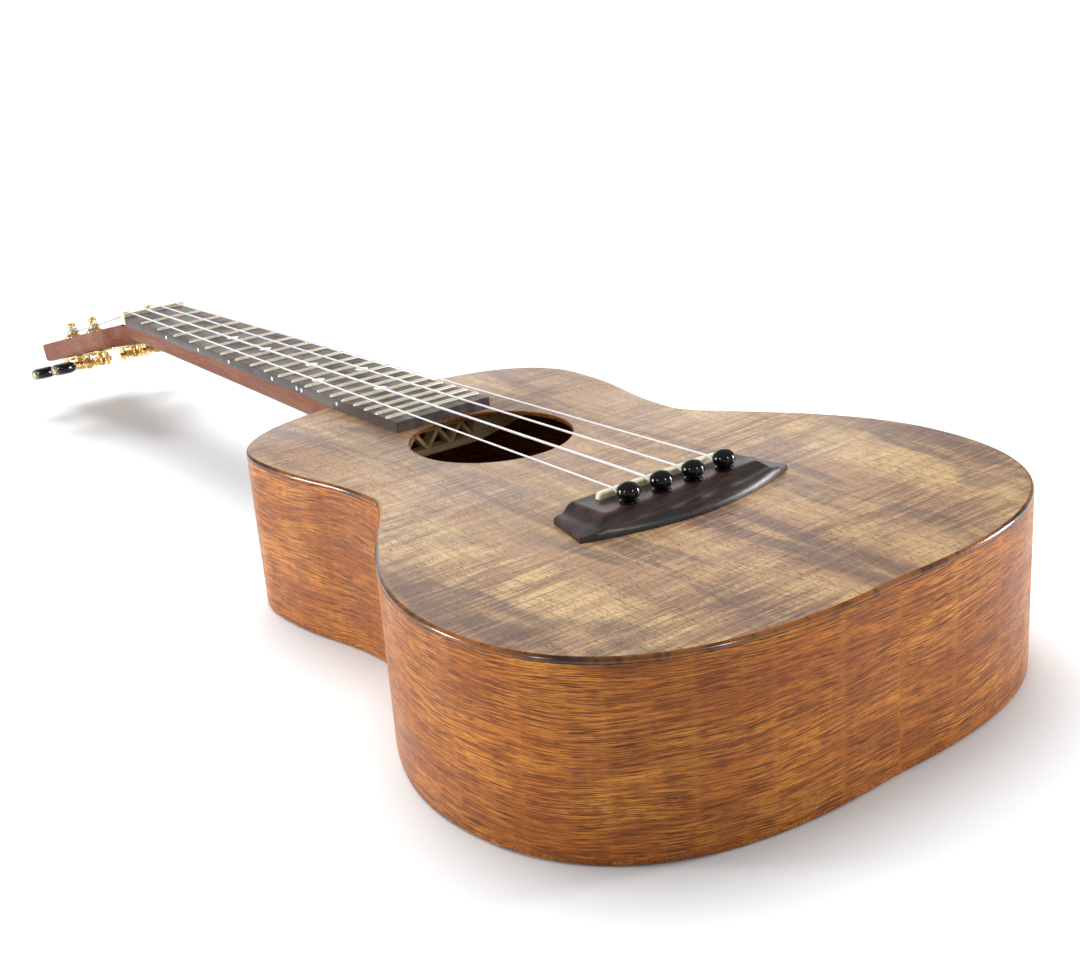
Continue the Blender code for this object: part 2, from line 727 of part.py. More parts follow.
def make_tuner_plate(number, frame):
    """A flat plate with two ears bent down to carry the worm shaft."""
    top = HEAD_BACK - GAP
    half_wide, reach_low, reach_high = 0.0062, -0.0115, 0.0155
    corner = 0.0030
    outline = [
        (-half_wide, reach_low + corner),
        (-half_wide + corner, reach_low),
        (half_wide - corner, reach_low),
        (half_wide, reach_low + corner),
        (half_wide, reach_high - corner),
        (half_wide - corner, reach_high),
        (-half_wide + corner, reach_high),
        (-half_wide, reach_high - corner),
    ]
    hole = ring_of(POST_RADIUS + 0.0003, ACROSS)
    made = plate(f"tuner_{number}_plate", outline, [hole], top - PLATE_THICK, top, GOLD, frame)
    for name, middle in (("inner", EAR_MIDDLE), ("outer", -EAR_MIDDLE)):
        ear_low = GEAR_MIDDLE - 0.0034
        profile = ((-0.0036, top - 0.0003), (-0.0036, ear_low + 0.002), (-0.0020, ear_low), (0.0020, ear_low))
        profile += ((0.0036, ear_low + 0.002), (0.0036, top - 0.0003))
        sections = [[(middle + s * EAR_HALF, WORM_OFFSET + y, z) for y, z in profile] for s in (-1, 1)]
        ear = loft(f"tuner_{number}_ear_{name}", sections, GOLD, frame, smooth=False)
        boolean(made, ear, "UNION")
    through = [(SHAFT_BORE, -0.012), (SHAFT_BORE, 0.012)]
    bore = turned(f"tuner_{number}_ear_bore", through, GOLD, frame, count=ACROSS)
    bore.location = (0.0, WORM_OFFSET, GEAR_MIDDLE)
    bore.rotation_euler = (0, math.pi / 2, 0)
    boolean(made, bore)
    sleeve = [(0.0041, -0.0080), (0.0041, HAIR), (0.0052, HAIR), (0.0050, 0.0008), (0.0038, 0.0024)]
    turned(f"tuner_{number}_bushing", sleeve, GOLD, frame, bore=POST_RADIUS + 0.0002)


def make_post(number, frame):
    gear_low = GEAR_MIDDLE - GEAR_HALF
    profile = [
        (0.0019, gear_low - 0.0004),
        (0.0019, GEAR_MIDDLE + GEAR_HALF + HAIR),
        (POST_RADIUS, GEAR_MIDDLE + GEAR_HALF + HAIR),
        (POST_RADIUS, POST_TOP - 0.0014),
        (POST_RADIUS + 0.0002, POST_TOP - 0.0012),
        (POST_RADIUS + 0.0002, POST_TOP - 0.0004),
        (POST_RADIUS - 0.0006, POST_TOP),
    ]
    post = turned(f"tuner_{number}_post", profile, GOLD, frame)
    eye = turned(f"tuner_{number}_eye", [(0.0008, -0.01), (0.0008, 0.01)], GOLD, frame, count=8)
    eye.location = (0.0, 0.0, POST_EYE)
    eye.rotation_euler = (math.pi / 2, 0, 0)
    boolean(post, eye)


def make_gear(number, frame):
    """A spur gear on the post's lower end, with one tooth pointing at the worm."""
    pitch_radius = GEAR_MODULE * GEAR_TEETH / 2
    root, tip = pitch_radius - 0.00085, pitch_radius + 0.0006
    step = 2 * math.pi / GEAR_TEETH
    outline = []
    for i in range(GEAR_TEETH):
        middle = math.pi / 2 + i * step
        for radius, share in ((root, -0.27), (tip, -0.10), (tip, 0.10), (root, 0.27)):
            turn = middle + share * step
            outline.append((radius * math.cos(turn), radius * math.sin(turn)))
    bore = ring_of(0.0020, ACROSS)
    low, high = GEAR_MIDDLE - GEAR_HALF, GEAR_MIDDLE + GEAR_HALF
    plate(f"tuner_{number}_gear", outline, [bore], low, high, BRASS, frame)


def worm_radius(turn, along):
    """The worm's radius at an angle and a place along it: a single-start thread on a plain core."""
    core, rise = 0.00148, 0.00135
    phase = (along / WORM_PITCH - turn / (2 * math.pi) + 0.5) % 1.0
    distance = min(phase, 1 - phase)
    return core + rise * max(0.0, 1 - distance / 0.27)


def make_worm_shaft(number, worm_frame):
    """The shaft runs along local X. A tooth of the gear stands in its thread, half a pitch from each turn."""
    around, steps, worm_half = 10, 16, 0.0046
    gear_side = -math.pi / 2

    def section(x, radius_at):
        rows = []
        for i in range(around):
            turn = 2 * math.pi * i / around
            radius = radius_at(turn)
            rows.append((x, radius * math.sin(turn), radius * math.cos(turn)))
        return rows

    plain = 0.0015
    sleeve = 0.0023
    sections = [section(-0.0255, lambda turn: plain), section(-0.0146, lambda turn: plain)]
    sections += [section(x, lambda turn: sleeve) for x in (-0.0145, -0.0068)]
    sections += [section(x, lambda turn: plain) for x in (-0.0067, -worm_half - HAIR)]
    for i in range(steps + 1):
        x = -worm_half + 2 * worm_half * i / steps
        sections.append(section(x, lambda turn: worm_radius(turn - gear_side, x)))
    sections += [section(worm_half + HAIR, lambda turn: plain), section(0.0070, lambda turn: plain)]
    loft(f"tuner_{number}_worm_shaft", sections, GOLD, worm_frame)


def make_button(number, worm_frame):
    """A flat-sided black knob, wider at its outer end, bored for the shaft."""
    half_thick = 0.0036
    levels = (
        (-0.0150, 0.0046, 0.62),
        (-0.0164, 0.0062, 0.90),
        (-0.0208, 0.0074, 1.0),
        (-0.0248, 0.0082, 1.0),
        (-0.0265, 0.0076, 0.80),
        (-0.0270, 0.0060, 0.5),
    )
    around = 16
    sections = []
    for x, half_wide, thick in levels:
        section = []
        for i in range(around):
            turn = 2 * math.pi * (i + 0.5) / around
            wide = math.copysign(abs(math.cos(turn)) ** 0.6, math.cos(turn)) * half_wide
            deep = math.copysign(abs(math.sin(turn)) ** 0.75, math.sin(turn)) * half_thick * thick
            section.append((x, wide, deep))
        sections.append(section)
    made = loft(f"tuner_{number}_button", sections, BLACK, worm_frame)
    blind = [(SHAFT_BORE, -0.0120), (SHAFT_BORE, 0.0)]
    bore = turned(f"tuner_{number}_button_bore", blind, BLACK, worm_frame, count=ACROSS)
    bore.location = (-0.0138, 0.0, 0.0)
    bore.rotation_euler = (0, math.pi / 2, 0)
    boolean(made, bore)


# strings
def nut_string_z(index):
    return BOARD_TOP + FRET_HIGH + 0.0004 + STRING_RADII[index]


def head_point(along, across, above):
    """A point given in the headstock's own directions, in world coordinates."""
    turned_by = Matrix.Rotation(-HEAD_ANGLE, 3, "X")
    return HEAD_FRAME_PLACE + turned_by @ Vector((across, along, above))


def make_string(index):
    """From the knot under the bridge plate, up past its pin, over saddle and nut, and round its post."""
    radius = STRING_RADII[index]
    x_pin, x_nut = string_x(index, PIN_SPACING), string_x(index, NUT_SPACING)
    hole_y = SADDLE_Y - PIN_BACK + 0.0019
    plateau = TOP_Z + BRIDGE_HIGH
    nut_z = nut_string_z(index)
    reach = radius + HAIR
    points = [
        Vector((x_pin, hole_y, INNER_TOP - 0.0060)),
        Vector((x_pin, hole_y, plateau - 0.0002)),
        Vector((x_pin, hole_y + 0.0004, plateau + 0.0004 + radius / 2)),
    ]
    for (drop, share), lean in zip(SADDLE_CREST, (55, 35, 15)):
        turn = math.radians(lean)
        back = SADDLE_THICK / 2 * (1 + share) + reach * math.sin(turn)
        high = TOP_Z + SADDLE_LINE_HIGH - drop + reach * math.cos(turn)
        points.append(Vector((x_pin, SADDLE_Y - back, high)))
    points.append(Vector((x_pin, SADDLE_Y - SADDLE_THICK * 0.45, TOP_Z + SADDLE_LINE_HIGH + reach)))
    points.append(Vector((x_nut, NUT_Y, nut_z)))
    points.append(Vector((x_nut, NUT_Y + NUT_LONG * 0.76, nut_z)))
    seat = TUNER_SEATS[index]
    inward = -1 if seat.x > 0 else 1
    wind = POST_RADIUS + 0.00025 + radius
    turns, per_turn, start_high = 1.75, 12, 0.0034
    last = int(turns * per_turn)
    for i in range(last + 1):
        turn = 2 * math.pi * i / per_turn
        high = start_high + (2 * radius + 0.0003) * i / per_turn
        across = seat.x + inward * wind * math.cos(turn)
        points.append(head_point(seat.y + wind * math.sin(turn), across, high))
    tube(f"string_{4 - index}", points, radius, NYLON)


# assembly
def main():
    head = empty("head_frame", HEAD_FRAME_PLACE, (-HEAD_ANGLE, 0.0, 0.0))
    make_shell()
    make_blocks()
    make_linings()
    make_truss_brace()
    make_braces()
    make_bridge()
    make_pins()
    make_neck(head)
    make_fretboard()
    make_nut()
    for number, seat in zip((4, 3, 2, 1), TUNER_SEATS):
        make_tuner(number, head, seat)
    for index in range(4):
        make_string(index)


main()
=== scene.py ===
# Tenor ukulele: the looks, built over its CAD frame.
# Sizes in the dictionaries are millimetres unless a note says otherwise.
# The grain runs along Y, towards the head.
import math

import bmesh
import bpy
from mathutils import Matrix, Vector


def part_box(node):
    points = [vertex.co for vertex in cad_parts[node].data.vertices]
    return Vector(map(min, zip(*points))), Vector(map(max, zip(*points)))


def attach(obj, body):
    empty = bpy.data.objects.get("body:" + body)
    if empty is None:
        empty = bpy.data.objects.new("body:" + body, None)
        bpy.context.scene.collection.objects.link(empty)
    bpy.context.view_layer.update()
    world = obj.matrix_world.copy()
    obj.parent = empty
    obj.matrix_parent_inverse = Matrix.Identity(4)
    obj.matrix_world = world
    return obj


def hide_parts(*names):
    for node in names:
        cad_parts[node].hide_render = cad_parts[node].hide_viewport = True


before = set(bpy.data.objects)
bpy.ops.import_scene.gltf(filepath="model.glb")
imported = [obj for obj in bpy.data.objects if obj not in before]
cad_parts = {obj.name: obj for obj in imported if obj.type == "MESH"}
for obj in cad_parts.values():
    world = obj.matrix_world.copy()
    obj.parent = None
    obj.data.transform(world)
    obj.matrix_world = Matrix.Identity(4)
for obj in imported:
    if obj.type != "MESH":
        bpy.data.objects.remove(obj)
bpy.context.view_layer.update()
mm = 0.001
print("frame loaded")

# places read from the frame
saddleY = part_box("saddle")[1][1]
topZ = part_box("soundboard")[1][2]


def hand(x, y, z):
    # millimetres from the saddle line on the soundboard to metres in the frame
    return Vector((x * mm, saddleY + y * mm, topZ + z * mm))


def newObject(name, data):
    made = bpy.data.objects.new(name, data)
    bpy.context.scene.collection.objects.link(made)
    return made


# ---- camera, floor and light
view = {
    "place": (-332.3, -388.2, 189.4),
    "yaw": -0.6264,
    "pitch": 0.3474,
    "roll": -0.0777,
    "lens": 50.8,
    "sensor": 36,
    "clip": (0.01, 400),  # metres
}


def makeCamera():
    yaw, pitch, roll = view["yaw"], view["pitch"], view["roll"]
    ahead = Vector((-math.sin(yaw) * math.cos(pitch), math.cos(yaw) * math.cos(pitch), -math.sin(pitch)))
    level = Vector((math.cos(yaw), math.sin(yaw), 0))
    upright = level.cross(ahead)
    right = math.cos(roll) * level + math.sin(roll) * upright
    up = -math.sin(roll) * level + math.cos(roll) * upright
    data = bpy.data.cameras.new("camera")
    data.lens = view["lens"]
    data.sensor_width = view["sensor"]
    data.clip_start, data.clip_end = view["clip"]
    camera = newObject("camera", data)
    turn = Matrix((right, up, -ahead)).transposed().to_4x4()
    camera.matrix_world = Matrix.Translation(hand(*view["place"])) @ turn
    bpy.context.scene.camera = camera


# metres here; a lamp is its place, its width and height, and its power
studio = {
    "floorTint": (0.890, 0.925, 0.945),
    "floorSize": 240,
    "floorHeight": -0.0002,
    "worldStrength": 0.34,
    "backdropStrength": 1.1,
    "viewTransform": "Standard",
    "skyPower": 3.0,
    "skyAngle": 50.0,
    "skyTilt": (-22.0, 6.0),
    "aim": (0, -0.1, 0.03),
    "windows": {
        "left_window": ((-1.45, 0.95, 0.19), (0.30, 0.8), 29.0),
        "right_window": ((1.40, -0.85, 0.21), (0.30, 0.8), 24.0),
        "back_wall": ((1.1, 1.9, 0.75), (2.2, 0.9), 8.0),
    },
    "strips": {
        "left_strip": ((-1.45, -0.42, 0.75), (0.07, 0.42), 5.0),
        "right_strip": ((0.10, -1.45, 0.75), (0.07, 0.42), 5.0),
    },
}


def areaLight(name, place, size, power):
    data = bpy.data.lights.new(name, "AREA")
    data.shape = "RECTANGLE"
    data.size, data.size_y = size
    data.energy = power
    lamp = newObject(name, data)
    lamp.location = place
    lamp.rotation_euler = (Vector(studio["aim"]) - Vector(place)).to_track_quat("-Z", "Y").to_euler()
    return lamp


def makeStudio():
    scene = bpy.context.scene
    scene.view_settings.view_transform = studio["viewTransform"]
    world = bpy.data.worlds.new("studio")
    world.use_nodes = True
    nodes, links = world.node_tree.nodes, world.node_tree.links
    nodes["Background"].inputs["Color"].default_value = (1, 1, 1, 1)
    # the backdrop beyond the floor's far edge looks white, but lights the room only softly
    path = nodes.new("ShaderNodeLightPath")
    strength = nodes.new("ShaderNodeMapRange")
    strength.inputs["To Min"].default_value = studio["worldStrength"]
    strength.inputs["To Max"].default_value = studio["backdropStrength"]
    links.new(path.outputs["Is Camera Ray"], strength.inputs["Value"])
    links.new(strength.outputs[0], nodes["Background"].inputs["Strength"])
    scene.world = world
    bpy.ops.mesh.primitive_plane_add(size=studio["floorSize"], location=(0, 0, studio["floorHeight"]))
    floor = bpy.context.object
    floor.name = "floor"
    paper = bpy.data.materials.new("paper_white")
    paper.use_nodes = True
    shader = paper.node_tree.nodes["Principled BSDF"]
    shader.inputs["Base Color"].default_value = (*studio["floorTint"], 1)
    shader.inputs["Roughness"].default_value = 0.75
    shader.inputs["Specular IOR Level"].default_value = 0.2
    floor.data.materials.append(paper)
    # one broad soft source overhead lights the whole floor evenly
    sky = bpy.data.lights.new("sky_panel", "SUN")
    sky.energy = studio["skyPower"]
    sky.angle = math.radians(studio["skyAngle"])
    panel = newObject("sky_panel", sky)
    panel.visible_glossy = False
    panel.rotation_euler = [math.radians(turn) for turn in (*studio["skyTilt"], 0)]
    for name, lamp in studio["windows"].items():
        areaLight(name, *lamp)
    # two tall strips that only show as glints on polished pieces
    for name, lamp in studio["strips"].items():
        areaLight(name, *lamp).visible_diffuse = False


makeCamera()
makeStudio()
print("studio ready")


# ---- shader helpers
def feed(tree, socket, value):
    # a plain value, or another node's output
    if isinstance(value, bpy.types.NodeSocket):
        tree.links.new(value, socket)
    else:
        socket.default_value = value


def put(tree, kind, inputs=None, **settings):
    node = tree.nodes.new(kind)
    for key, value in settings.items():
        setattr(node, key, value)
    for key, value in (inputs or {}).items():
        feed(tree, node.inputs[key], value)
    return node


def sums(tree, operation, first, second=0.0, third=0.0):
    return put(tree, "ShaderNodeMath", {0: first, 1: second, 2: third}, operation=operation).outputs[0]


def times(tree, first, second):
    return sums(tree, "MULTIPLY", first, second)


def offCentre(tree, value, centre):
    # how far a value is from a centre, either way
    return sums(tree, "ABSOLUTE", sums(tree, "SUBTRACT", value, centre))


def joined(tree, x, y=0.0, z=0.0):
    return put(tree, "ShaderNodeCombineXYZ", {"X": x, "Y": y, "Z": z}).outputs[0]


def parted(tree, vector):
    return put(tree, "ShaderNodeSeparateXYZ", {0: vector}).outputs


def vectors(tree, operation, first, second):
    return put(tree, "ShaderNodeVectorMath", {0: first, 1: second}, operation=operation).outputs[0]


def stretch(tree, vector, scale, offset=(0, 0, 0)):
    return put(tree, "ShaderNodeMapping", {"Vector": vector, "Scale": scale, "Location": offset}).outputs[0]


def cloud(tree, vector, scale=1.0, detail=3.0, rough=0.5, distortion=0.0):
    inputs = {"Vector": vector, "Scale": scale, "Detail": detail, "Roughness": rough,
              "Distortion": distortion}
    return put(tree, "ShaderNodeTexNoise", inputs).outputs["Fac"]


def between(tree, value, low, high, toLow=0.0, toHigh=1.0):
    inputs = {"Value": value, "From Min": low, "From Max": high, "To Min": toLow, "To Max": toHigh}
    return put(tree, "ShaderNodeMapRange", inputs, interpolation_type="SMOOTHSTEP").outputs[0]


def blendColour(tree, share, first, second):
    node = put(tree, "ShaderNodeMix", data_type="RGBA")
    node.clamp_factor = True
    for index, value in ((0, share), (6, first), (7, second)):
        feed(tree, node.inputs[index], value)
    return node.outputs[2]


def newGroup(name, inputs, outputs):
    group = bpy.data.node_groups.new(name, "ShaderNodeTree")
    for label, kind, value in inputs:
        socket = group.interface.new_socket(label, in_out="INPUT", socket_type=kind)
        if value is not None:
            socket.default_value = value
    for label, kind in outputs:
        group.interface.new_socket(label, in_out="OUTPUT", socket_type=kind)
    return group, group.nodes.new("NodeGroupInput").outputs, group.nodes.new("NodeGroupOutput").inputs


def useGroup(tree, group, **inputs):
    node = tree.nodes.new("ShaderNodeGroup")
    node.node_tree = group
    for key, value in inputs.items():
        feed(tree, node.inputs[key], value)
    return node.outputs


def newMaterial(name, **shaderValues):
    material = bpy.data.materials.new(name)
    material.use_nodes = True
    shader = material.node_tree.nodes["Principled BSDF"]
    for key, value in shaderValues.items():
        shader.inputs[key.replace("_", " ")].default_value = value
    return material, material.node_tree, shader


def rgb(red, green, blue):
    return (red, green, blue, 1.0)


floatSocket, vectorSocket = "NodeSocketFloat", "NodeSocketVector"


# ---- effects that several finishes share
# every vector is in metres, with the grain along its second axis
def makePoresGroup():
    # short dark dashes along the grain, thickened in patches
    group, given, result = newGroup(
        "openPores",
        (("Vector", vectorSocket, None), ("Length", floatSocket, 0.006), ("Width", floatSocket, 0.0003),
         ("Amount", floatSocket, 0.4)),
        (("Mask", floatSocket), ("Height", floatSocket)),
    )
    acrossScale = sums(group, "DIVIDE", 1.0, given["Width"])
    alongScale = sums(group, "DIVIDE", 1.0, given["Length"])
    scale = joined(group, acrossScale, alongScale, acrossScale)
    stretched = vectors(group, "MULTIPLY", given["Vector"], scale)
    grains = cloud(group, stretched, 1.0, 1.5, 0.6)
    patches = cloud(group, stretch(group, given["Vector"], (90, 22, 90)), 1.0, 2.0, 0.5)
    level = sums(group, "MULTIPLY_ADD", given["Amount"], -0.22, 0.70)
    level = sums(group, "MULTIPLY_ADD", patches, -0.12, sums(group, "ADD", level, 0.06))
    mask = put(group, "ShaderNodeMapRange", {"Value": grains, "From Min": level,
                                             "From Max": sums(group, "ADD", level, 0.06)}).outputs[0]
    group.links.new(mask, result["Mask"])
    group.links.new(times(group, mask, -1.0), result["Height"])
    return group


def makeFibreGroup():
    # fine lines along the grain, from growth rings down to single fibres
    group, given, result = newGroup(
        "fibreLines",
        (("Vector", vectorSocket, None), ("Ring", floatSocket, 0.006), ("Fine", floatSocket, 0.0006)),
        (("Rings", floatSocket), ("Fibre", floatSocket)),
    )
    ringScale = sums(group, "DIVIDE", 1.0, given["Ring"])
    fineScale = sums(group, "DIVIDE", 1.0, given["Fine"])
    slim = vectors(group, "MULTIPLY", given["Vector"], (1, 0.07, 1))
    slimmer = vectors(group, "MULTIPLY", given["Vector"], (1, 0.03, 1))
    group.links.new(cloud(group, slim, ringScale, 3.0, 0.55, 0.25), result["Rings"])
    group.links.new(cloud(group, slimmer, fineScale, 2.0, 0.6), result["Fibre"])
    return group


def makeCurlGroup():
    # flame figure: light and dark bands across the grain, broken up in length
    group, given, result = newGroup(
        "curlFigure",
        (("Vector", vectorSocket, None), ("Band", floatSocket, 0.004), ("Run", floatSocket, 0.03)),
        (("Bands", floatSocket), ("Patches", floatSocket)),
    )
    alongScale = sums(group, "DIVIDE", 1.0, given["Band"])
    acrossScale = sums(group, "DIVIDE", 1.0, given["Run"])
    scale = joined(group, acrossScale, alongScale, acrossScale)
    stretched = vectors(group, "MULTIPLY", given["Vector"], scale)
    group.links.new(cloud(group, stretched, 1.0, 2.5, 0.55, 0.35), result["Bands"])
    group.links.new(cloud(group, given["Vector"], 26.0, 2.0, 0.5), result["Patches"])
    return group


def makeHandlingGroup():
    # soft smudges and faint rubbed marks that change the gloss
    group, given, result = newGroup(
        "handlingMarks",
        (("Vector", vectorSocket, None), ("Size", floatSocket, 0.02)),
        (("Mask", floatSocket),),
    )
    scale = sums(group, "DIVIDE", 1.0, given["Size"])
    broad = cloud(group, given["Vector"], scale, 4.0, 0.6)
    group.links.new(between(group, broad, 0.35, 0.68), result["Mask"])
    return group


def makeDriftGroup():
    # sways the grain sideways by a slow noise
    group, given, result = newGroup(
        "grainDrift",
        (("Vector", vectorSocket, None), ("Noise", floatSocket, 0.5), ("Reach", floatSocket, 0.01)),
        (("Vector", vectorSocket),),
    )
    shift = times(group, sums(group, "SUBTRACT", given["Noise"], 0.5), given["Reach"])
    group.links.new(vectors(group, "ADD", given["Vector"], joined(group, shift)), result["Vector"])
    return group


poresGroup = makePoresGroup()
fibreGroup = makeFibreGroup()
curlGroup = makeCurlGroup()
handlingGroup = makeHandlingGroup()
driftGroup = makeDriftGroup()


def objectVector(tree):
    return put(tree, "ShaderNodeTexCoord").outputs["Object"]


def bump(tree, height, strength, distance, shader):
    node = put(tree, "ShaderNodeBump", {"Strength": strength, "Distance": distance, "Height": height})
    tree.links.new(node.outputs[0], shader.inputs["Normal"])


def smudge(tree, place, size, low, high, shader):
    # handling marks that vary the roughness between two values
    mask = useGroup(tree, handlingGroup, Vector=place, Size=size)["Mask"]
    tree.links.new(between(tree, mask, 0.0, 1.0, low, high), shader.inputs["Roughness"])
    return mask


# ---- finishes
koaLook = {
    "gold": rgb(0.62, 0.420, 0.200),
    "tan": rgb(0.360, 0.207, 0.115),
    "brown": rgb(0.190, 0.098, 0.060),
    "streak": rgb(0.115, 0.078, 0.070),
    "pore": rgb(0.070, 0.032, 0.022),
    "roughness": 0.42,
    "coat": 0.16,
}


def makeKoa():
    look = koaLook
    material, tree, shader = newMaterial("koa_top", Roughness=look["roughness"], Coat_Weight=look["coat"],
                                         Coat_Roughness=0.26, Specular_IOR_Level=0.42)
    place = objectVector(tree)
    axes = parted(tree, place)
    # two matched halves, opened like a book along the centre line
    folded = joined(tree, sums(tree, "ABSOLUTE", axes[0]), axes[1], axes[2])
    drift = cloud(tree, stretch(tree, folded, (4, 5, 4)), 1.0, 2.0)
    wandering = useGroup(tree, driftGroup, Vector=folded, Noise=drift, Reach=0.045)["Vector"]
    broad = cloud(tree, stretch(tree, wandering, (24, 2.6, 24), (3.1, 0.4, 0)), 1.0, 3.0, 0.55)
    colour = blendColour(tree, between(tree, broad, 0.36, 0.66), look["gold"], look["tan"])
    bandsOut = useGroup(tree, curlGroup, Vector=place, Band=0.0048, Run=0.052)
    fineBands = useGroup(tree, curlGroup, Vector=place, Band=0.0012, Run=0.024)
    patchy = between(tree, bandsOut["Patches"], 0.40, 0.62, 0.35, 1.0)
    flame = times(tree, between(tree, bandsOut["Bands"], 0.44, 0.60), patchy)
    colour = blendColour(tree, times(tree, flame, 0.62), colour, look["brown"])
    fineFlame = times(tree, between(tree, fineBands["Bands"], 0.49, 0.60), patchy)
    colour = blendColour(tree, times(tree, fineFlame, 0.66), colour, look["brown"])
    glints = between(tree, fineBands["Bands"], 0.45, 0.36, 0.0, 0.50)
    colour = blendColour(tree, times(tree, glints, patchy), colour, look["gold"])
    vein = cloud(tree, stretch(tree, wandering, (22, 4.0, 22), (7.7, 2.3, 0)), 1.0, 3.0, 0.6, 0.6)
    veinMask = between(tree, offCentre(tree, vein, 0.53), 0.075, 0.008)
    lines = useGroup(tree, fibreGroup, Vector=wandering, Ring=0.010, Fine=0.0009)
    broken = times(tree, veinMask, between(tree, fineBands["Bands"], 0.36, 0.56, 0.60, 1.0))
    broken = times(tree, broken, between(tree, lines["Rings"], 0.34, 0.56, 0.55, 1.0))
    colour = blendColour(tree, times(tree, broken, 0.80), colour, look["streak"])
    colour = blendColour(tree, between(tree, lines["Fibre"], 0.44, 0.70, 0.0, 0.45), colour, look["brown"])
    pores = useGroup(tree, poresGroup, Vector=place, Length=0.0022, Width=0.00032, Amount=0.60)
    colour = blendColour(tree, times(tree, pores["Mask"], 0.70), colour, look["pore"])
    tree.links.new(colour, shader.inputs["Base Color"])
    smudge(tree, place, 0.05, look["roughness"] - 0.05, look["roughness"] + 0.07, shader)
    bump(tree, sums(tree, "ADD", pores["Height"], times(tree, flame, 0.15)), 0.25, 0.0002, shader)
    return material


edgeLook = {
    "amber": rgb(0.27, 0.085, 0.014),
    "dark": rgb(0.030, 0.009, 0.004),
    "roughness": 0.20,
}


def makeEdge():
    look = edgeLook
    material, tree, shader = newMaterial("amber_edge", Roughness=look["roughness"], Coat_Weight=0.2,
                                         Coat_Roughness=0.08, Specular_IOR_Level=0.4)
    place = objectVector(tree)
    patches = cloud(tree, place, 34.0, 3.0, 0.6)
    flecks = cloud(tree, stretch(tree, place, (420, 420, 60)), 1.0, 2.0)
    colour = blendColour(tree, between(tree, patches, 0.36, 0.60), look["dark"], look["amber"])
    colour = blendColour(tree, between(tree, flecks, 0.50, 0.72, 0.0, 0.6), colour, look["dark"])
    tree.links.new(colour, shader.inputs["Base Color"])
    return material


sideLook = {
    "gold": rgb(0.78, 0.300, 0.041),
    "orange": rgb(0.55, 0.170, 0.022),
    "red": rgb(0.27, 0.064, 0.010),
    "pore": rgb(0.130, 0.032, 0.008),
    "roughness": 0.38,
    "coat": 0.02,
    "gloss": 0.20,
}


def mahogany(name, look, vectorOf, poreLength=0.0130, poreWidth=0.00022, poreAmount=0.80):
    material, tree, shader = newMaterial(name, Roughness=look["roughness"], Coat_Weight=look["coat"],
                                         Coat_Roughness=0.18, Specular_IOR_Level=look["gloss"])
    place = vectorOf(tree)
    sway = cloud(tree, stretch(tree, place, (30, 14, 30)), 1.0, 1.5)
    waved = useGroup(tree, driftGroup, Vector=place, Noise=sway, Reach=0.010)["Vector"]
    lines = useGroup(tree, fibreGroup, Vector=waved, Ring=0.009, Fine=0.0008)
    ribbon = cloud(tree, stretch(tree, waved, (45, 26, 45)), 1.0, 3.0, 0.55)
    colour = blendColour(tree, between(tree, ribbon, 0.34, 0.64), look["gold"], look["orange"])
    colour = blendColour(tree, between(tree, lines["Rings"], 0.46, 0.70, 0.0, 0.45), colour, look["red"])
    colour = blendColour(tree, between(tree, lines["Fibre"], 0.46, 0.60, 0.0, 0.78), colour, look["red"])
    pores = useGroup(tree, poresGroup, Vector=waved, Length=poreLength, Width=poreWidth, Amount=poreAmount)
    tiny = useGroup(tree, poresGroup, Vector=place, Length=poreLength * 0.4, Width=poreWidth * 0.6,
                    Amount=poreAmount)
    colour = blendColour(tree, times(tree, pores["Mask"], 0.96), colour, look["pore"])
    colour = blendColour(tree, times(tree, tiny["Mask"], 0.75), colour, look["pore"])
    tree.links.new(colour, shader.inputs["Base Color"])
    smudge(tree, place, 0.04, look["roughness"] - 0.05, look["roughness"] + 0.06, shader)
    bump(tree, sums(tree, "ADD", pores["Height"], tiny["Height"]), 0.22, 0.0002, shader)
    return material


def aroundBody(tree):
    # the sides' own layout: across the grain is height, along it is the way round the body
    axes = parted(tree, put(tree, "ShaderNodeUVMap", uv_map="grain").outputs[0])
    return joined(tree, axes[1], axes[0])


neckLook = {
    "gold": rgb(0.28, 0.092, 0.033),
    "orange": rgb(0.225, 0.066, 0.022),
    "red": rgb(0.155, 0.040, 0.013),
    "pore": rgb(0.120, 0.031, 0.014),
    "roughness": 0.44,
    "coat": 0.0,
    "gloss": 0.20,
}

holeLook = {
    "gold": rgb(0.36, 0.150, 0.040),
    "orange": rgb(0.25, 0.090, 0.024),
    "red": rgb(0.12, 0.040, 0.013),
    "pore": rgb(0.05, 0.016, 0.008),
    "roughness": 0.5,
    "coat": 0.0,
    "gloss": 0.15,
}

# mahogany darkened to near black: painted shade for the inside of the body, seen through the sound hole
insideShadeLook = {
    "gold": rgb(0.13, 0.060, 0.022),
    "orange": rgb(0.09, 0.038, 0.014),
    "red": rgb(0.05, 0.020, 0.008),
    "pore": rgb(0.02, 0.008, 0.004),
    "roughness": 0.7,
    "coat": 0.0,
    "gloss": 0.10,
}

darkLook = {
    "light": rgb(0.046, 0.026, 0.021),
    "dark": rgb(0.012, 0.008, 0.007),
    "streak": rgb(0.150, 0.034, 0.018),
    "roughness": 0.40,
    "coat": 0.30,
}

boardLook = {
    "light": rgb(0.132, 0.100, 0.090),
    "dark": rgb(0.058, 0.042, 0.038),
    "streak": rgb(0.130, 0.068, 0.052),
    "roughness": 0.46,
    "coat": 0.0,
}


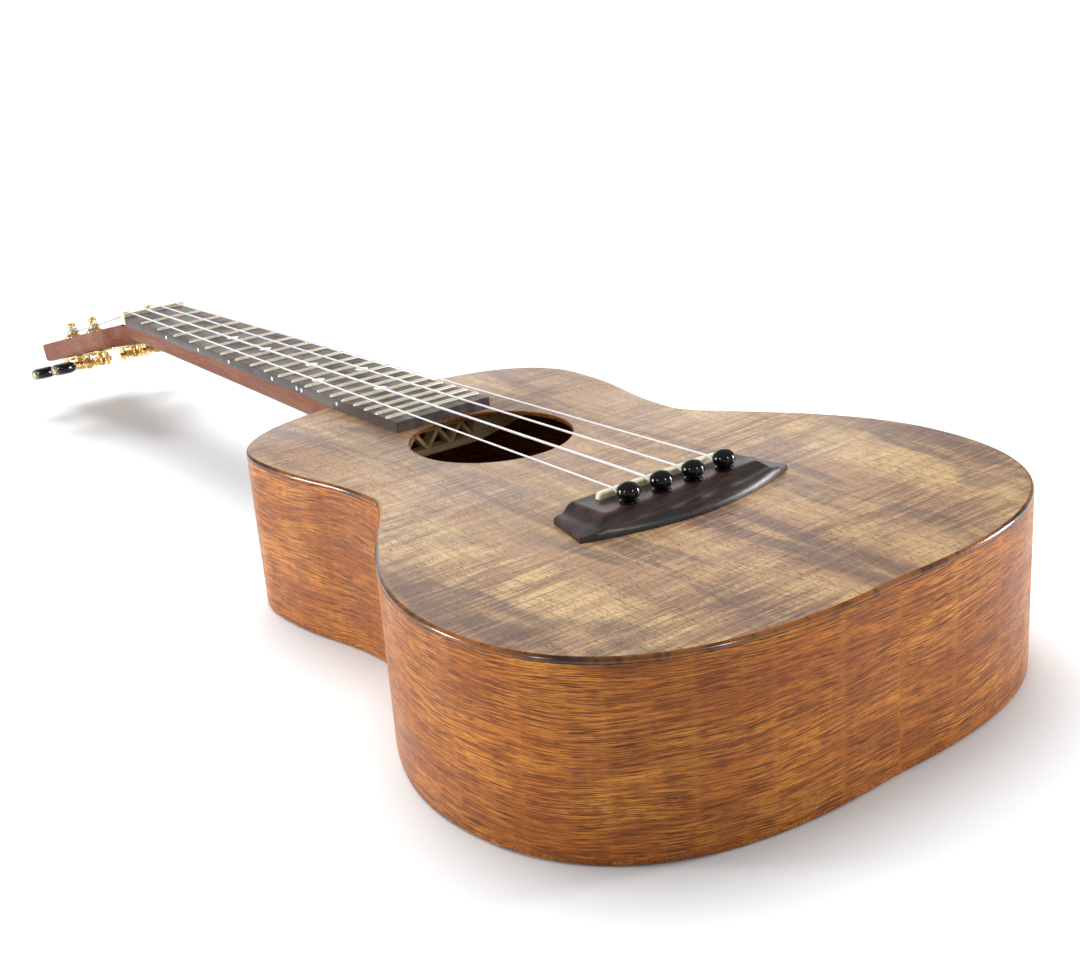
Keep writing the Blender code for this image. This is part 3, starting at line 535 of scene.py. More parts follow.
def rosewood(name, look, streakShare, vectorOf=objectVector):
    material, tree, shader = newMaterial(name, Roughness=look["roughness"], Coat_Weight=look["coat"],
                                         Coat_Roughness=0.26, Specular_IOR_Level=0.38)
    place = vectorOf(tree)
    lines = useGroup(tree, fibreGroup, Vector=place, Ring=0.005, Fine=0.0007)
    colour = blendColour(tree, between(tree, lines["Rings"], 0.38, 0.64), look["dark"], look["light"])
    red = cloud(tree, stretch(tree, place, (190, 13, 190), (1.3, 0.2, 0)), 1.0, 3.0, 0.55, 0.4)
    redMask = between(tree, offCentre(tree, red, 0.56), 0.040, 0.0)
    colour = blendColour(tree, times(tree, redMask, streakShare), colour, look["streak"])
    pores = useGroup(tree, poresGroup, Vector=place, Length=0.0035, Width=0.00028, Amount=0.5)
    colour = blendColour(tree, times(tree, pores["Mask"], 0.6), colour, look["dark"])
    tree.links.new(colour, shader.inputs["Base Color"])
    smudge(tree, place, 0.015, look["roughness"] - 0.08, look["roughness"] + 0.10, shader)
    height = sums(tree, "ADD", pores["Height"], times(tree, lines["Fibre"], 0.3))
    bump(tree, height, 0.3, 0.00015, shader)
    return material


def acrossVector(tree):
    # for wood whose grain runs across the instrument
    axes = parted(tree, objectVector(tree))
    return joined(tree, axes[1], axes[0], axes[2])


spruceLook = {
    "light": rgb(0.86, 0.66, 0.38),
    "dark": rgb(0.72, 0.50, 0.26),
    "line": rgb(0.36, 0.22, 0.10),
    "roughness": 0.7,
}


def makeSpruce():
    look = spruceLook
    material, tree, shader = newMaterial("bare_spruce", Roughness=look["roughness"])
    place = acrossVector(tree)
    lines = useGroup(tree, fibreGroup, Vector=place, Ring=0.0016, Fine=0.0004)
    colour = blendColour(tree, between(tree, lines["Rings"], 0.40, 0.62), look["light"], look["dark"])
    colour = blendColour(tree, between(tree, lines["Fibre"], 0.45, 0.7, 0.0, 0.3), colour, look["line"])
    tree.links.new(colour, shader.inputs["Base Color"])
    bump(tree, lines["Fibre"], 0.2, 0.0002, shader)
    return material


boneLook = {"light": rgb(0.80, 0.76, 0.56), "dark": rgb(0.70, 0.64, 0.43), "roughness": (0.30, 0.48)}


def makeIvory():
    look = boneLook
    material, tree, shader = newMaterial("ivory_bone", Subsurface_Weight=0.15, Subsurface_Scale=0.002)
    place = objectVector(tree)
    mottled = cloud(tree, stretch(tree, place, (300, 900, 300)), 1.0, 3.0, 0.5)
    colour = blendColour(tree, between(tree, mottled, 0.35, 0.68), look["light"], look["dark"])
    tree.links.new(colour, shader.inputs["Base Color"])
    smudge(tree, place, 0.004, *look["roughness"], shader)
    return material


blackLook = {"plain": rgb(0.002, 0.002, 0.0025), "dust": rgb(0.012, 0.012, 0.013), "roughness": (0.04, 0.13)}


def makeGlossBlack():
    look = blackLook
    material, tree, shader = newMaterial("gloss_black", Coat_Weight=0.30, Coat_Roughness=0.02,
                                         Specular_IOR_Level=0.28)
    place = objectVector(tree)
    dust = cloud(tree, place, 2600.0, 2.0, 0.7)
    colour = blendColour(tree, between(tree, dust, 0.62, 0.80, 0.0, 0.5), look["plain"], look["dust"])
    tree.links.new(colour, shader.inputs["Base Color"])
    smudge(tree, place, 0.005, *look["roughness"], shader)
    return material


def plated(name, bright, dull, roughness, scale, metallic=1.0):
    material, tree, shader = newMaterial(name, Metallic=metallic)
    place = objectVector(tree)
    mask = smudge(tree, place, scale, roughness - 0.05, roughness + 0.12, shader)
    tree.links.new(blendColour(tree, mask, bright, dull), shader.inputs["Base Color"])
    scratches = cloud(tree, stretch(tree, place, (3000, 300, 3000)), 1.0, 2.0)
    bump(tree, scratches, 0.06, 0.00005, shader)
    return material


def makeNylon():
    material, tree, shader = newMaterial("white_nylon", Roughness=0.28, Subsurface_Weight=0.3,
                                         Subsurface_Scale=0.001, Coat_Weight=0.3, Coat_Roughness=0.1)
    place = objectVector(tree)
    tint = cloud(tree, stretch(tree, place, (60, 60, 60)), 1.0, 2.0)
    colour = blendColour(tree, tint, rgb(0.90, 0.90, 0.92), rgb(0.80, 0.80, 0.84))
    tree.links.new(colour, shader.inputs["Base Color"])
    return material


def makePearl():
    material, tree, shader = newMaterial("pearl", Roughness=0.18, Coat_Weight=0.8, Coat_Roughness=0.05)
    place = objectVector(tree)
    folds = cloud(tree, place, 480.0, 3.0, 0.6, 1.2)
    colour = blendColour(tree, between(tree, folds, 0.35, 0.65), rgb(0.82, 0.82, 0.80), rgb(0.60, 0.68, 0.70))
    tree.links.new(colour, shader.inputs["Base Color"])
    return material


koaTop = makeKoa()
amberEdge = makeEdge()
sideWood = mahogany("side_mahogany", sideLook, aroundBody)
backWood = mahogany("back_mahogany", sideLook, objectVector)
holeWood = mahogany("cut_edge_wood", holeLook, objectVector, 0.002, 0.0002, 0.3)
# the back's inside face: mahogany darkened as painted shade
insideShadedWood = mahogany("inside_mahogany_painted_shade", insideShadeLook, objectVector)
neckWood = mahogany("neck_mahogany", neckLook, objectVector, 0.0045, 0.0003, 0.5)
boardWood = rosewood("fretboard_rosewood", boardLook, 0.2)
bridgeWood = rosewood("bridge_rosewood", darkLook, 0.38, acrossVector)
spruce = makeSpruce()
ivory = makeIvory()
glossBlack = makeGlossBlack()
goldPlate = plated("gold_plate", rgb(0.92, 0.68, 0.29), rgb(0.80, 0.54, 0.20), 0.16, 0.006)
gearBrass = plated("gear_brass", rgb(0.80, 0.58, 0.26), rgb(0.62, 0.42, 0.16), 0.28, 0.004)
fretMetal = plated("fret_wire", rgb(0.88, 0.85, 0.68), rgb(0.76, 0.71, 0.54), 0.34, 0.004, 0.55)
nylon = makeNylon()
pearl = makePearl()
print("finishes ready")


# ---- mesh helpers; points are in metres in the frame
def meshFrom(name, bm, matrix=None):
    mesh = bpy.data.meshes.new(name)
    bm.to_mesh(mesh)
    bm.free()
    if matrix is not None:
        mesh.transform(matrix)
    return mesh


def ride(made, body, replaced):
    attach(made, body)
    if replaced:
        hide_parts(*replaced)
    return made


def addPiece(name, bm, materials, replaced=(), smoothAngle=35, body="instrument", place=None):
    mesh = meshFrom(name, bm, place)
    bm = bmesh.new()
    bm.from_mesh(mesh)
    bmesh.ops.recalc_face_normals(bm, faces=bm.faces)
    bm.to_mesh(mesh)
    bm.free()
    mesh.shade_smooth()
    mesh.set_sharp_from_angle(angle=math.radians(smoothAngle))
    for material in materials:
        mesh.materials.append(material)
    return ride(newObject(name, mesh), body, replaced)


def skin(bm, rows, capped=True, loopBack=False, slot=0):
    # faces between rows of points, each row a loop
    made = [[bm.verts.new(point) for point in row] for row in rows]
    pairs = list(zip(made, made[1:]))
    if loopBack:
        pairs.append((made[-1], made[0]))
    for first, second in pairs:
        count = len(first)
        for i in range(count):
            face = bm.faces.new((first[i - 1], first[i], second[i], second[i - 1]))
            face.material_index = slot
    if capped and not loopBack:
        for row in (made[0], made[-1]):
            bm.faces.new(row).material_index = slot
    return made


def lathe(bm, profile, count=48, matrix=Matrix.Identity(4), loopBack=False):
    # profile of (radius, height) about local Z
    rows = []
    for radius, height in profile:
        row = []
        for i in range(count):
            turn = 2 * math.pi * i / count
            row.append(matrix @ Vector((radius * math.cos(turn), radius * math.sin(turn), height)))
        rows.append(row)
    return skin(bm, rows, loopBack=loopBack)


def fillBetween(bm, loops, slot=0):
    edges = []
    for loop in loops:
        for i in range(len(loop)):
            edge = bm.edges.get((loop[i - 1], loop[i])) or bm.edges.new((loop[i - 1], loop[i]))
            edges.append(edge)
    made = bmesh.ops.triangle_fill(bm, use_beauty=True, edges=edges)
    for item in made["geom"]:
        if isinstance(item, bmesh.types.BMFace):
            item.material_index = slot


def roundedBox(size, centre, radius, segments):
    bm = bmesh.new()
    bmesh.ops.create_cube(bm, size=1.0)
    bmesh.ops.scale(bm, vec=size, verts=bm.verts)
    bmesh.ops.bevel(bm, geom=bm.edges[:], offset=radius, segments=segments, profile=0.5, affect="EDGES")
    bmesh.ops.translate(bm, vec=centre, verts=bm.verts)
    return bm


def cut(target, name, bm, place=None):
    cutter = newObject(name, meshFrom(name, bm, place))
    modifier = target.modifiers.new(name, "BOOLEAN")
    modifier.object = cutter
    modifier.operation = "DIFFERENCE"
    modifier.solver = "EXACT"
    bpy.context.view_layer.update()
    graph = bpy.context.evaluated_depsgraph_get()
    evaluated = bpy.data.meshes.new_from_object(target.evaluated_get(graph))
    target.modifiers.clear()
    old = target.data
    target.data = evaluated
    bpy.data.meshes.remove(old)
    bpy.data.objects.remove(cutter)


def cutBar(target, name, size, turn, axis, middle, place):
    # a straight slot across a screw's head
    bm = bmesh.new()
    bmesh.ops.create_cube(bm, size=1.0)
    bmesh.ops.scale(bm, vec=size, verts=bm.verts)
    bmesh.ops.rotate(bm, matrix=Matrix.Rotation(turn, 3, axis), verts=bm.verts)
    bmesh.ops.translate(bm, vec=middle, verts=bm.verts)
    cut(target, name, bm, place)


# ---- body outline: the right half from the tail to the neck, as four smooth spans
outlineSpans = (
    ((0, -110.5), (18.5, -110.5), (119.6, -120.7), (119.6, -29.5), 56),
    ((119.6, -29.5), (119.6, 21.2), (73.9, 57.7), (73.9, 74.1), 34),
    ((73.9, 74.1), (73.9, 108.8), (82.5, 110.3), (82.5, 147.7), 26),
    ((82.5, 147.7), (82.5, 183.3), (46.7, 194.3), (0, 194.3), 36),
)


def rightOutline():
    points = []
    for start, startHandle, endHandle, end, count in outlineSpans:
        for i in range(count):
            t = i / count
            s = 1 - t
            shares = (s ** 3, 3 * s * s * t, 3 * s * t * t, t ** 3)
            corners = (start, startHandle, endHandle, end)
            points.append(Vector([sum(w * corner[k] for w, corner in zip(shares, corners)) for k in (0, 1)]))
    points.append(Vector(outlineSpans[-1][3]))
    return points


halfOutline = rightOutline()


def inset(points, distance):
    moved = []
    for i, point in enumerate(points):
        along = (points[min(i + 1, len(points) - 1)] - points[max(i - 1, 0)]).normalized()
        if i in (0, len(points) - 1):
            along = Vector((1 if i == 0 else -1, 0))
        moved.append(point + Vector((-along.y, along.x)) * distance)
    moved[0].x = moved[-1].x = 0
    return moved


def bothHalves(points):
    return points + [Vector((-p.x, p.y)) for p in points[-2:0:-1]]


def loopAt(distance, z, points=halfOutline):
    return [hand(p.x, p.y, z) for p in bothHalves(inset(points, distance))]


def circleAt(radius, centre, z, count):
    x, y = centre
    turns = [2 * math.pi * i / count for i in range(count)]
    return [hand(x + radius * math.cos(turn), y + radius * math.sin(turn), z) for turn in turns]


topShape = {
    "thick": 2.0,
    "edgeRound": 1.3,
    "underRound": 0.25,
    "holeRadius": 33.5,
    "holeY": 102.0,
    "holeRound": 0.35,
    "boreRadius": 2.7,
    "depth": 68.0,
    "backThick": 2.2,
    "backRound": 1.3,
    "sideThick": 1.8,
    "tailSeam": 0.05,
}
pinX = [(-1.5 + i) * 14.9 for i in range(4)]
nutX = [(-1.5 + i) * 9.2 for i in range(4)]
pinY = -11.1


def quarter(steps):
    return [math.pi / 2 * i / steps for i in range(steps + 1)]


def makeTop():
    shape = topShape
    bm = bmesh.new()
    radius, under, bottom = shape["edgeRound"], shape["underRound"], -shape["thick"]
    rows = [loopAt(under, bottom), loopAt(0.0, bottom + under)]
    for turn in quarter(6):
        rows.append(loopAt(radius * (1 - math.cos(turn)), -radius * (1 - math.sin(turn))))
    edge = skin(bm, rows, capped=False, slot=1)
    hole, soft = shape["holeRadius"], shape["holeRound"]
    centre = (0, shape["holeY"])
    rows = [circleAt(hole + soft, centre, bottom, 128), circleAt(hole, centre, bottom + soft, 128)]
    for turn in quarter(3):
        rows.append(circleAt(hole + soft * (1 - math.cos(turn)), centre, -soft * (1 - math.sin(turn)), 128))
    rim = skin(bm, rows, capped=False, slot=2)
    upper, lower = [edge[-1], rim[-1]], [edge[0], rim[0]]
    for x in pinX:
        rows = [circleAt(shape["boreRadius"], (x, pinY), z, 20) for z in (bottom, 0)]
        bore = skin(bm, rows, capped=False, slot=2)
        upper.append(bore[-1])
        lower.append(bore[0])
    fillBetween(bm, upper, 0)
    fillBetween(bm, lower, 2)
    addPiece("soundboard_koa", bm, (koaTop, amberEdge, holeWood), ("soundboard",), 50)


def makeSide(word, side):
    # one bent side with its layout running from the tail round to the neck
    shape = topShape
    bm = bmesh.new()
    layout = bm.loops.layers.uv.new("grain")
    layoutShift = 0.31  # metres, so that the two sides differ
    low = -shape["depth"] + shape["backThick"]
    high = -shape["thick"]
    outer = halfOutline
    inner = inset(halfOutline, shape["sideThick"])
    lengths = [0.0]
    for first, second in zip(outer, outer[1:]):
        lengths.append(lengths[-1] + (second - first).length)
    levels = 8
    rows = [(outer, low + (high - low) * step / levels) for step in range(levels + 1)]
    rows += [(inner, high), (inner, low)]
    seam = shape["tailSeam"]
    verts = [[bm.verts.new(hand(side * max(p.x, seam), p.y, z)) for p in points] for points, z in rows]
    count = len(outer)
    for r in range(len(rows)):
        upper = (r + 1) % len(rows)
        for i in range(1, count):
            face = bm.faces.new((verts[r][i - 1], verts[r][i], verts[upper][i], verts[upper][i - 1]))
            corners = ((i - 1, r), (i, r), (i, upper), (i - 1, upper))
            for loop, (at, row) in zip(face.loops, corners):
                loop[layout].uv = (lengths[at] * mm, rows[row][1] * mm + side * layoutShift)
    for i in (0, count - 1):
        bm.faces.new([verts[r][i] for r in range(len(rows))])
    addPiece(f"bent_side_{word}", bm, (sideWood,), (f"side_{word}",), 40)


def makeBack():
    shape = topShape
    bm = bmesh.new()
    bottom = -shape["depth"]
    radius = shape["backRound"]
    rows = [loopAt(0.0, bottom + shape["backThick"])]
    for turn in quarter(5):
        rows.append(loopAt(radius * (1 - math.cos(turn)), bottom + radius * (1 - math.sin(turn))))
    made = skin(bm, rows)
    # the inside face is bare wood, darkened to near black as painted shade for the dark inside of the body
    for face in made[0][0].link_faces:
        if all(corner in made[0] for corner in face.verts):
            face.material_index = 1
    addPiece("back_panel", bm, (backWood, insideShadedWood), ("back",), 50)


makeTop()
makeSide("left", -1)
makeSide("right", 1)
makeBack()
print("body ready")

for name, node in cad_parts.items():
    if "lining" in name or "brace" in name or name == "bridge_plate":
        finish = spruce
    elif name.endswith("block"):
        finish = holeWood
    else:
        continue
    node.data.materials.clear()
    node.data.materials.append(finish)
print("inside ready")


# ---- bridge, saddle and pins
bridgeShape = {
    "front": 4.4,
    "frontHalf": 43.5,
    "backHalf": 48.8,
    "endBack": -16.5,
    "bellyBack": -27.0,
    "bellyPower": 1.9,
    "ridge": -13.2,
    "high": 6.2,
    "wingLow": 2.0,
    "wingHigh": 3.1,
    "wingEnd": 49.0,
    "wingRun": 9.0,
    "riserOut": 40.5,
    "riserIn": 35.5,
    "lipHigh": 3.8,
    "edgeHigh": 1.5,
    "soften": 0.35,
    "saddleSlot": (57.4, 3.1, 7.2),
    "saddleY": -1.5,
    "bore": ((2.62, -4.0), (2.62, 5.0), (3.2, 6.4), (3.2, 12.0)),
}


def smooth(value):
    t = min(max(value, 0.0), 1.0)
    return t * t * (3 - 2 * t)


def toMetres(profile):
    return [(radius * mm, height * mm) for radius, height in profile]


def bridgeBack(x):
    shape = bridgeShape
    share = min(abs(x) / shape["backHalf"], 1) ** shape["bellyPower"]
    return shape["bellyBack"] + (shape["endBack"] - shape["bellyBack"]) * share


def bridgeHeight(x, y):
    # flat middle, scooped wings, and a hollow then a lip down to the curved back edge
    shape = bridgeShape
    reach = abs(x)
    wingShare = smooth((shape["wingEnd"] - reach) / shape["wingRun"])
    wing = shape["wingLow"] + (shape["wingHigh"] - shape["wingLow"]) * wingShare
    riser = smooth((shape["riserOut"] - reach) / (shape["riserOut"] - shape["riserIn"]))
    high = wing + (shape["high"] - wing) * riser
    share = min(max((shape["ridge"] - y) / (shape["ridge"] - bridgeBack(x)), 0), 1)
    lipShare = 1 - math.sqrt(max(0, 1 - smooth((share - 0.62) / 0.38) ** 2))
    lip = shape["lipHigh"] + (shape["edgeHigh"] - shape["lipHigh"]) * lipShare
    carved = shape["high"] + (lip - shape["high"]) * smooth(share / 0.66)
    return min(high, carved)


def makeBridge():
    shape = bridgeShape
    bm = bmesh.new()
    columns, rows = 96, 44
    bend = math.pi / 2 * 0.97  # packs the columns towards the two ends
    top, foot = [], []
    for i in range(columns + 1):
        u = math.sin(bend * (2 * i / columns - 1)) / math.sin(bend)
        topRow, footRow = [], []
        for j in range(rows + 1):
            v = j / rows
            x = u * (shape["frontHalf"] + (shape["backHalf"] - shape["frontHalf"]) * v)
            y = shape["front"] + (bridgeBack(x) - shape["front"]) * v
            soft = shape["soften"] * (max(0, 1 - min(v, 1 - v) * rows) + max(0, 1 - (1 - abs(u)) * 60))
            topRow.append(bm.verts.new(hand(x, y, bridgeHeight(x, y) - soft)))
            footRow.append(bm.verts.new(hand(x, y, 0.0)))
        top.append(topRow)
        foot.append(footRow)
    for grid in (top, foot):
        for first, second in zip(grid, grid[1:]):
            for j in range(rows):
                bm.faces.new((first[j], first[j + 1], second[j + 1], second[j]))
    for i in range(columns):
        for j in (0, rows):
            bm.faces.new((top[i][j], top[i + 1][j], foot[i + 1][j], foot[i][j]))
    for j in range(rows):
        for i in (0, columns):
            bm.faces.new((top[i][j], top[i][j + 1], foot[i][j + 1], foot[i][j]))
    bridge = addPiece("bridge_carved", bm, (bridgeWood,), ("bridge",), 42)
    bm = bmesh.new()
    for x in pinX:
        lathe(bm, toMetres(shape["bore"]), 28, Matrix.Translation(hand(x, pinY, 0)))
    cut(bridge, "pin_bores", bm)
    size = Vector(shape["saddleSlot"]) * mm
    cut(bridge, "saddle_slot", roundedBox(size, hand(0, shape["saddleY"], shape["high"]), 0.2 * mm, 2))


saddleShape = {
    "half": 28.5,
    "thick": 3.0,
    "bottom": 2.75,
    "top": 8.8,
    "crownRound": 0.9,
    "cornerRound": 2.0,
    "wear": 0.10,
}


def makeSaddle():
    shape = saddleShape
    bm = bmesh.new()
    rows = []
    steps = 72
    halfThick, corner, crownRound = shape["thick"] / 2, shape["cornerRound"], shape["crownRound"]
    for i in range(steps + 1):
        x = -shape["half"] + 2 * shape["half"] * i / steps
        fromEnd = shape["half"] - abs(x)
        drop = 0.0
        if fromEnd <= corner:
            drop = corner - math.sqrt(max(0, corner ** 2 - (corner - fromEnd) ** 2))
        slim = 1.0 if fromEnd > 0.8 else 0.72 + 0.28 * smooth(fromEnd / 0.8)
        # the strings have worn shallow marks
        wear = sum(shape["wear"] * math.exp(-((x - at) / 0.7) ** 2) for at in pinX)
        shoulder = shape["top"] - drop * 0.75 - wear - crownRound
        half = halfThick * slim
        row = [(-half, shape["bottom"]), (half, shape["bottom"]), (half, shoulder)]
        for k in range(1, 7):
            turn = math.pi * k / 7
            row.append((half * math.cos(turn), shoulder + crownRound * math.sin(turn)))
        row.append((-half, shoulder))
        rows.append([hand(x, -halfThick + y, z) for y, z in row])
    skin(bm, rows)
    addPiece("saddle_bone", bm, (ivory,), ("saddle",), 50)


pinShape = {
    "ball": 4.2,
    "ballHalf": 3.45,
    "ballHigh": 3.7,
    "ballFrom": -53,  # degrees
    "shank": ((1.2, -16.5), (1.9, -16.2), (2.05, -15.5), (2.45, -0.3), (2.55, 0.0)),
    "collar": ((3.2, 0.02), (3.4, 0.20), (3.4, 0.50), (3.15, 0.72), (2.50, 0.82)),
    "seatGap": 0.1,
    "groove": (1.5, 6, 24),
    "grooveMiddle": (0, 4.1, -10.9),
}


def makePin(number, x):
    shape = pinShape
    bm = bmesh.new()
    profile = [*shape["shank"], *shape["collar"]]
    steps = 26
    low = shape["ballFrom"]
    for i in range(steps):
        turn = math.radians(low + (89.5 - low) * i / (steps - 1))
        high = shape["ballHigh"] + shape["ballHalf"] * math.sin(turn)
        profile.append((shape["ball"] * math.cos(turn), high))
    seat = hand(x, pinY, bridgeShape["high"] + shape["seatGap"])
    lathe(bm, toMetres(profile), 56, Matrix.Translation(seat))
    pin = addPiece(f"ball_pin_{number}", bm, (glossBlack,), (f"bridge_pin_{number}",), 45,
                   f"pin_{number}")
    groove = roundedBox(Vector(shape["groove"]) * mm, seat + Vector(shape["grooveMiddle"]) * mm, 0.2 * mm, 2)
    cut(pin, f"groove_{number}", groove)


makeBridge()
makeSaddle()
for i, x in enumerate(pinX):
    makePin(4 - i, x)
print("bridge ready")


# ---- neck and headstock
headTilt = math.radians(14.0)
headStart = hand(0, 437, -0.2)
headFrame = Matrix.Translation(headStart) @ Matrix.Rotation(-headTilt, 4, "X")


def headPoint(across, along, above):
    return headFrame @ Vector((across * mm, along * mm, above * mm))


neckShape = {
    "joint": 194.3,
    "nutHalf": 18.4,
    "boardEndHalf": 23.75,
    "heel": ((66.8, 10.5, 8.5), (58.0, 11.5, 12.0), (46.0, 13.5, 15.5), (34.0, 16.5, 18.2),
             (24.0, 22.0, 20.0), (17.0, 30.0, 21.0), (11.0, 42.0, 21.6)),  # depth, reach, half width
    "depths": ((188.0, 19.0), (224.3, 17.5), (284.3, 16.0), (392.0, 14.2), (428.0, 13.8), (437.0, 14.0)),
    "nutDepth": 13.8,
    "headThick": 11.1,
    "overlay": 1.0,
    "heelBack": 6.0,
    "blend": 2.5,
}
scaleLength = 432


def fretPlace(number):
    return scaleLength * 2 ** (-number / 12)


boardEndY = fretPlace(19) - 8.5


def boardHalf(y):
    share = (scaleLength - y) / (scaleLength - boardEndY)
    return neckShape["nutHalf"] + (neckShape["boardEndHalf"] - neckShape["nutHalf"]) * share


def readAlong(table, at, column=1):
    # a smooth reading between the rows of a table
    rows = sorted(table)
    if at <= rows[0][0]:
        return rows[0][column]
    for first, second in zip(rows, rows[1:]):
        if at <= second[0]:
            return first[column] + (second[column] - first[column]) * (at - first[0]) / (second[0] - first[0])
    return rows[-1][column]


def heelDepth(y):
    table = [row[1::-1] for row in neckShape["heel"]]
    return readAlong(table, y - neckShape["joint"])


def neckWidth(y, depth):
    # half width of neck and heel together at a depth below the fretboard
    deep = readAlong(neckShape["depths"], y)
    share = min(depth / deep, 1)
    plain = boardHalf(y) * math.sqrt(max(0, 1 - share ** 2.33))
    out, back = y - neckShape["joint"], neckShape["heelBack"]
    reach = readAlong(neckShape["heel"], depth)
    half = readAlong(neckShape["heel"], depth, 2)
    s = ((out + back) / (reach + back)) if out > -back else 0
    heel = half * math.sqrt(max(0, 1 - min(s, 1) ** 2.5)) if depth > 9 else 0
    width = max(plain, heel)
    if heel > 0.5 and plain > 0.5:
        # a small fillet where the two meet
        soft = neckShape["blend"]
        width += max(soft - abs(plain - heel), 0) ** 2 / (4 * soft)
    return width


def mirrored(right):
    return right + [(-x, z) for x, z in right[::-1]]


def neckSection(y):
    deep = readAlong(neckShape["depths"], y)
    out = y - neckShape["joint"]
    if out < 42:
        deep = max(deep, heelDepth(y))
    steps = 22
    right = []
    for i in range(steps + 1):
        turn = math.pi / 2 * i / steps
        depth = deep * math.sin(turn) ** 0.9
        right.append((max(neckWidth(y, depth * 0.9995), 0.4), -depth))
    return [hand(x, y, z) for x, z in mirrored(right)]


headOutline = ((0, 18.4), (3, 18.6), (6, 19.0), (9, 20.0), (12, 21.5), (15, 23.3), (18, 25.0), (21, 26.3),
               (24, 27.2), (27, 27.5), (40, 27.1), (64, 26.4), (90, 27.2), (112, 28.3), (117.0, 28.5),
               (118.6, 27.9), (119.6, 26.4), (120.0, 24.0), (120.2, 17.0), (120.5, 8.0))


headLong = headOutline[-1][0]


def headSection(along):
    # from a rounded neck section at the nut to a flat headstock with eased edges
    half = readAlong(headOutline, along)
    change = smooth(along / 24)
    bottom = neckShape["nutDepth"] + (neckShape["headThick"] - neckShape["nutDepth"]) * change
    top = neckShape["overlay"] + 0.02
    power = 1.0 + (0.16 - 1.0) * smooth((along + 3) / 22)
    steps = 22
    right = []
    for i in range(steps + 1):
        turn = math.pi / 2 * i / steps
        x = half * math.cos(turn) ** power
        right.append((x, -top - (bottom - top) * math.sin(turn) ** (0.9 * power)))
    return [headPoint(x, along, z) for x, z in mirrored(right)]


def makeNeck():
    # sections stand closest round the heel and round the nut
    ys = [192.5 + 0.5 * i for i in range(24)] + [204.5 + 0.22 * i for i in range(40)]
    ys += [213.5 + 0.8 * i for i in range(30)] + [238 + 4.5 * i for i in range(43)]
    rows = [neckSection(y) for y in ys if y < 430]
    rows.append(neckSection(430.5))
    alongs = [0.3 + 0.75 * i for i in range(36)] + [28 + 4 * i for i in range(21)]
    alongs += [112, 115, 117, 117.8, 118.6, 119.1, 119.6, 119.9, 120.1]
    rows += [headSection(a) for a in alongs]
    bm = bmesh.new()
    skin(bm, rows)
    addPiece("neck_and_headstock", bm, (neckWood,), ("neck",), 40)


def headLoop(inwards, above, start=0.5):
    points = [(max(a, start), h) for a, h in headOutline]
    steps = []
    for (a0, h0), (a1, h1) in zip(points, points[1:]):
        steps += [(a0 + (a1 - a0) * k / 3, h0 + (h1 - h0) * k / 3) for k in range(3)]
    steps.append(points[-1])
    right = [(half - inwards, min(max(along, start + inwards), headLong - inwards)) for along, half in steps]
    return [headPoint(x, a, above) for x, a in mirrored(right)]


def makeOverlay():
    bm = bmesh.new()
    levels = ((0.0, -neckShape["overlay"]), (0.0, -0.3), (0.09, -0.1), (0.3, 0.0))
    skin(bm, [headLoop(inwards, above) for inwards, above in levels])
    addPiece("headstock_face", bm, (neckWood,), ("headstock_overlay",), 30)


boardShape = {"thick": 4.5, "soften": 0.25}


def makeBoard():
    shape = boardShape
    bm = bmesh.new()
    rows = []
    soft = shape["soften"]
    for y in (boardEndY, boardEndY + soft, 211.4, 300, 431.9):
        trim = soft if y == boardEndY else 0
        half = boardHalf(y) - trim
        high = shape["thick"] - trim
        section = ((-half, 0.0), (half, 0.0), (half, high - soft), (half - soft, high), (soft - half, high),
                   (-half, high - soft))
        rows.append([hand(x, y, z) for x, z in section])
    skin(bm, rows)
    addPiece("fretboard_rosewood", bm, (boardWood,), ("fretboard",), 25)


fretShape = {
    "count": 19,
    "wide": 2.1,
    "high": 1.0,
    "ends": ((0.05, 0.25), (0.35, 0.72), (0.8, 1.0)),  # distance in from the edge, share of the height
}


def makeFret(number):
    shape = fretShape
    y = fretPlace(number)
    half = boardHalf(y)
    bm = bmesh.new()
    rows = []
    across = 14
    stations = [(inwards - half, scale) for inwards, scale in shape["ends"]]
    stations += [(half - inwards, scale) for inwards, scale in shape["ends"][::-1]]
    for x, scale in stations:
        row = []
        for k in range(across + 1):
            turn = math.pi * k / across
            along = shape["wide"] / 2 * math.cos(turn) * (0.8 + 0.2 * scale)
            rise = shape["high"] * scale * math.sin(turn) ** 0.8
            row.append(hand(x, y + along, boardShape["thick"] + rise))
        rows.append(row)
    skin(bm, rows)
    addPiece(f"fret_{number:02d}", bm, (fretMetal,))


dotShape = {
    "faceFrets": (5, 7, 10, 12, 15),
    "sideFrets": (3, 5, 7, 10, 12, 15),
    "facePair": 11.7,
    "sidePair": 2.4,
    "face": ((3.0, -0.3), (3.0, 0.03), (2.9, 0.06)),
    "side": ((1.0, -0.3), (1.0, 0.05), (0.9, 0.08)),
    "sideHigh": 2.34,
}


def makeDots(word, points):
    # a pair of dots marks the octave
    shape = dotShape
    places = []
    for number in shape[word + "Frets"]:
        y = (fretPlace(number) + fretPlace(number - 1)) / 2
        pair = shape[word + "Pair"]
        places += [(shift, y) for shift in ((-pair, pair) if number == 12 else (0,))]
    for i, (shift, y) in enumerate(places):
        if word == "face":
            stand = Matrix.Translation(hand(shift, y, boardShape["thick"]))
        else:
            edge = hand(-boardHalf(y + shift), y + shift, shape["sideHigh"])
            stand = Matrix.Translation(edge) @ Matrix.Rotation(-math.pi / 2, 4, "Y")
        bm = bmesh.new()
        lathe(bm, toMetres(shape[word]), points, stand)
        addPiece(f"{word}_dot_{i + 1}", bm, (pearl,))


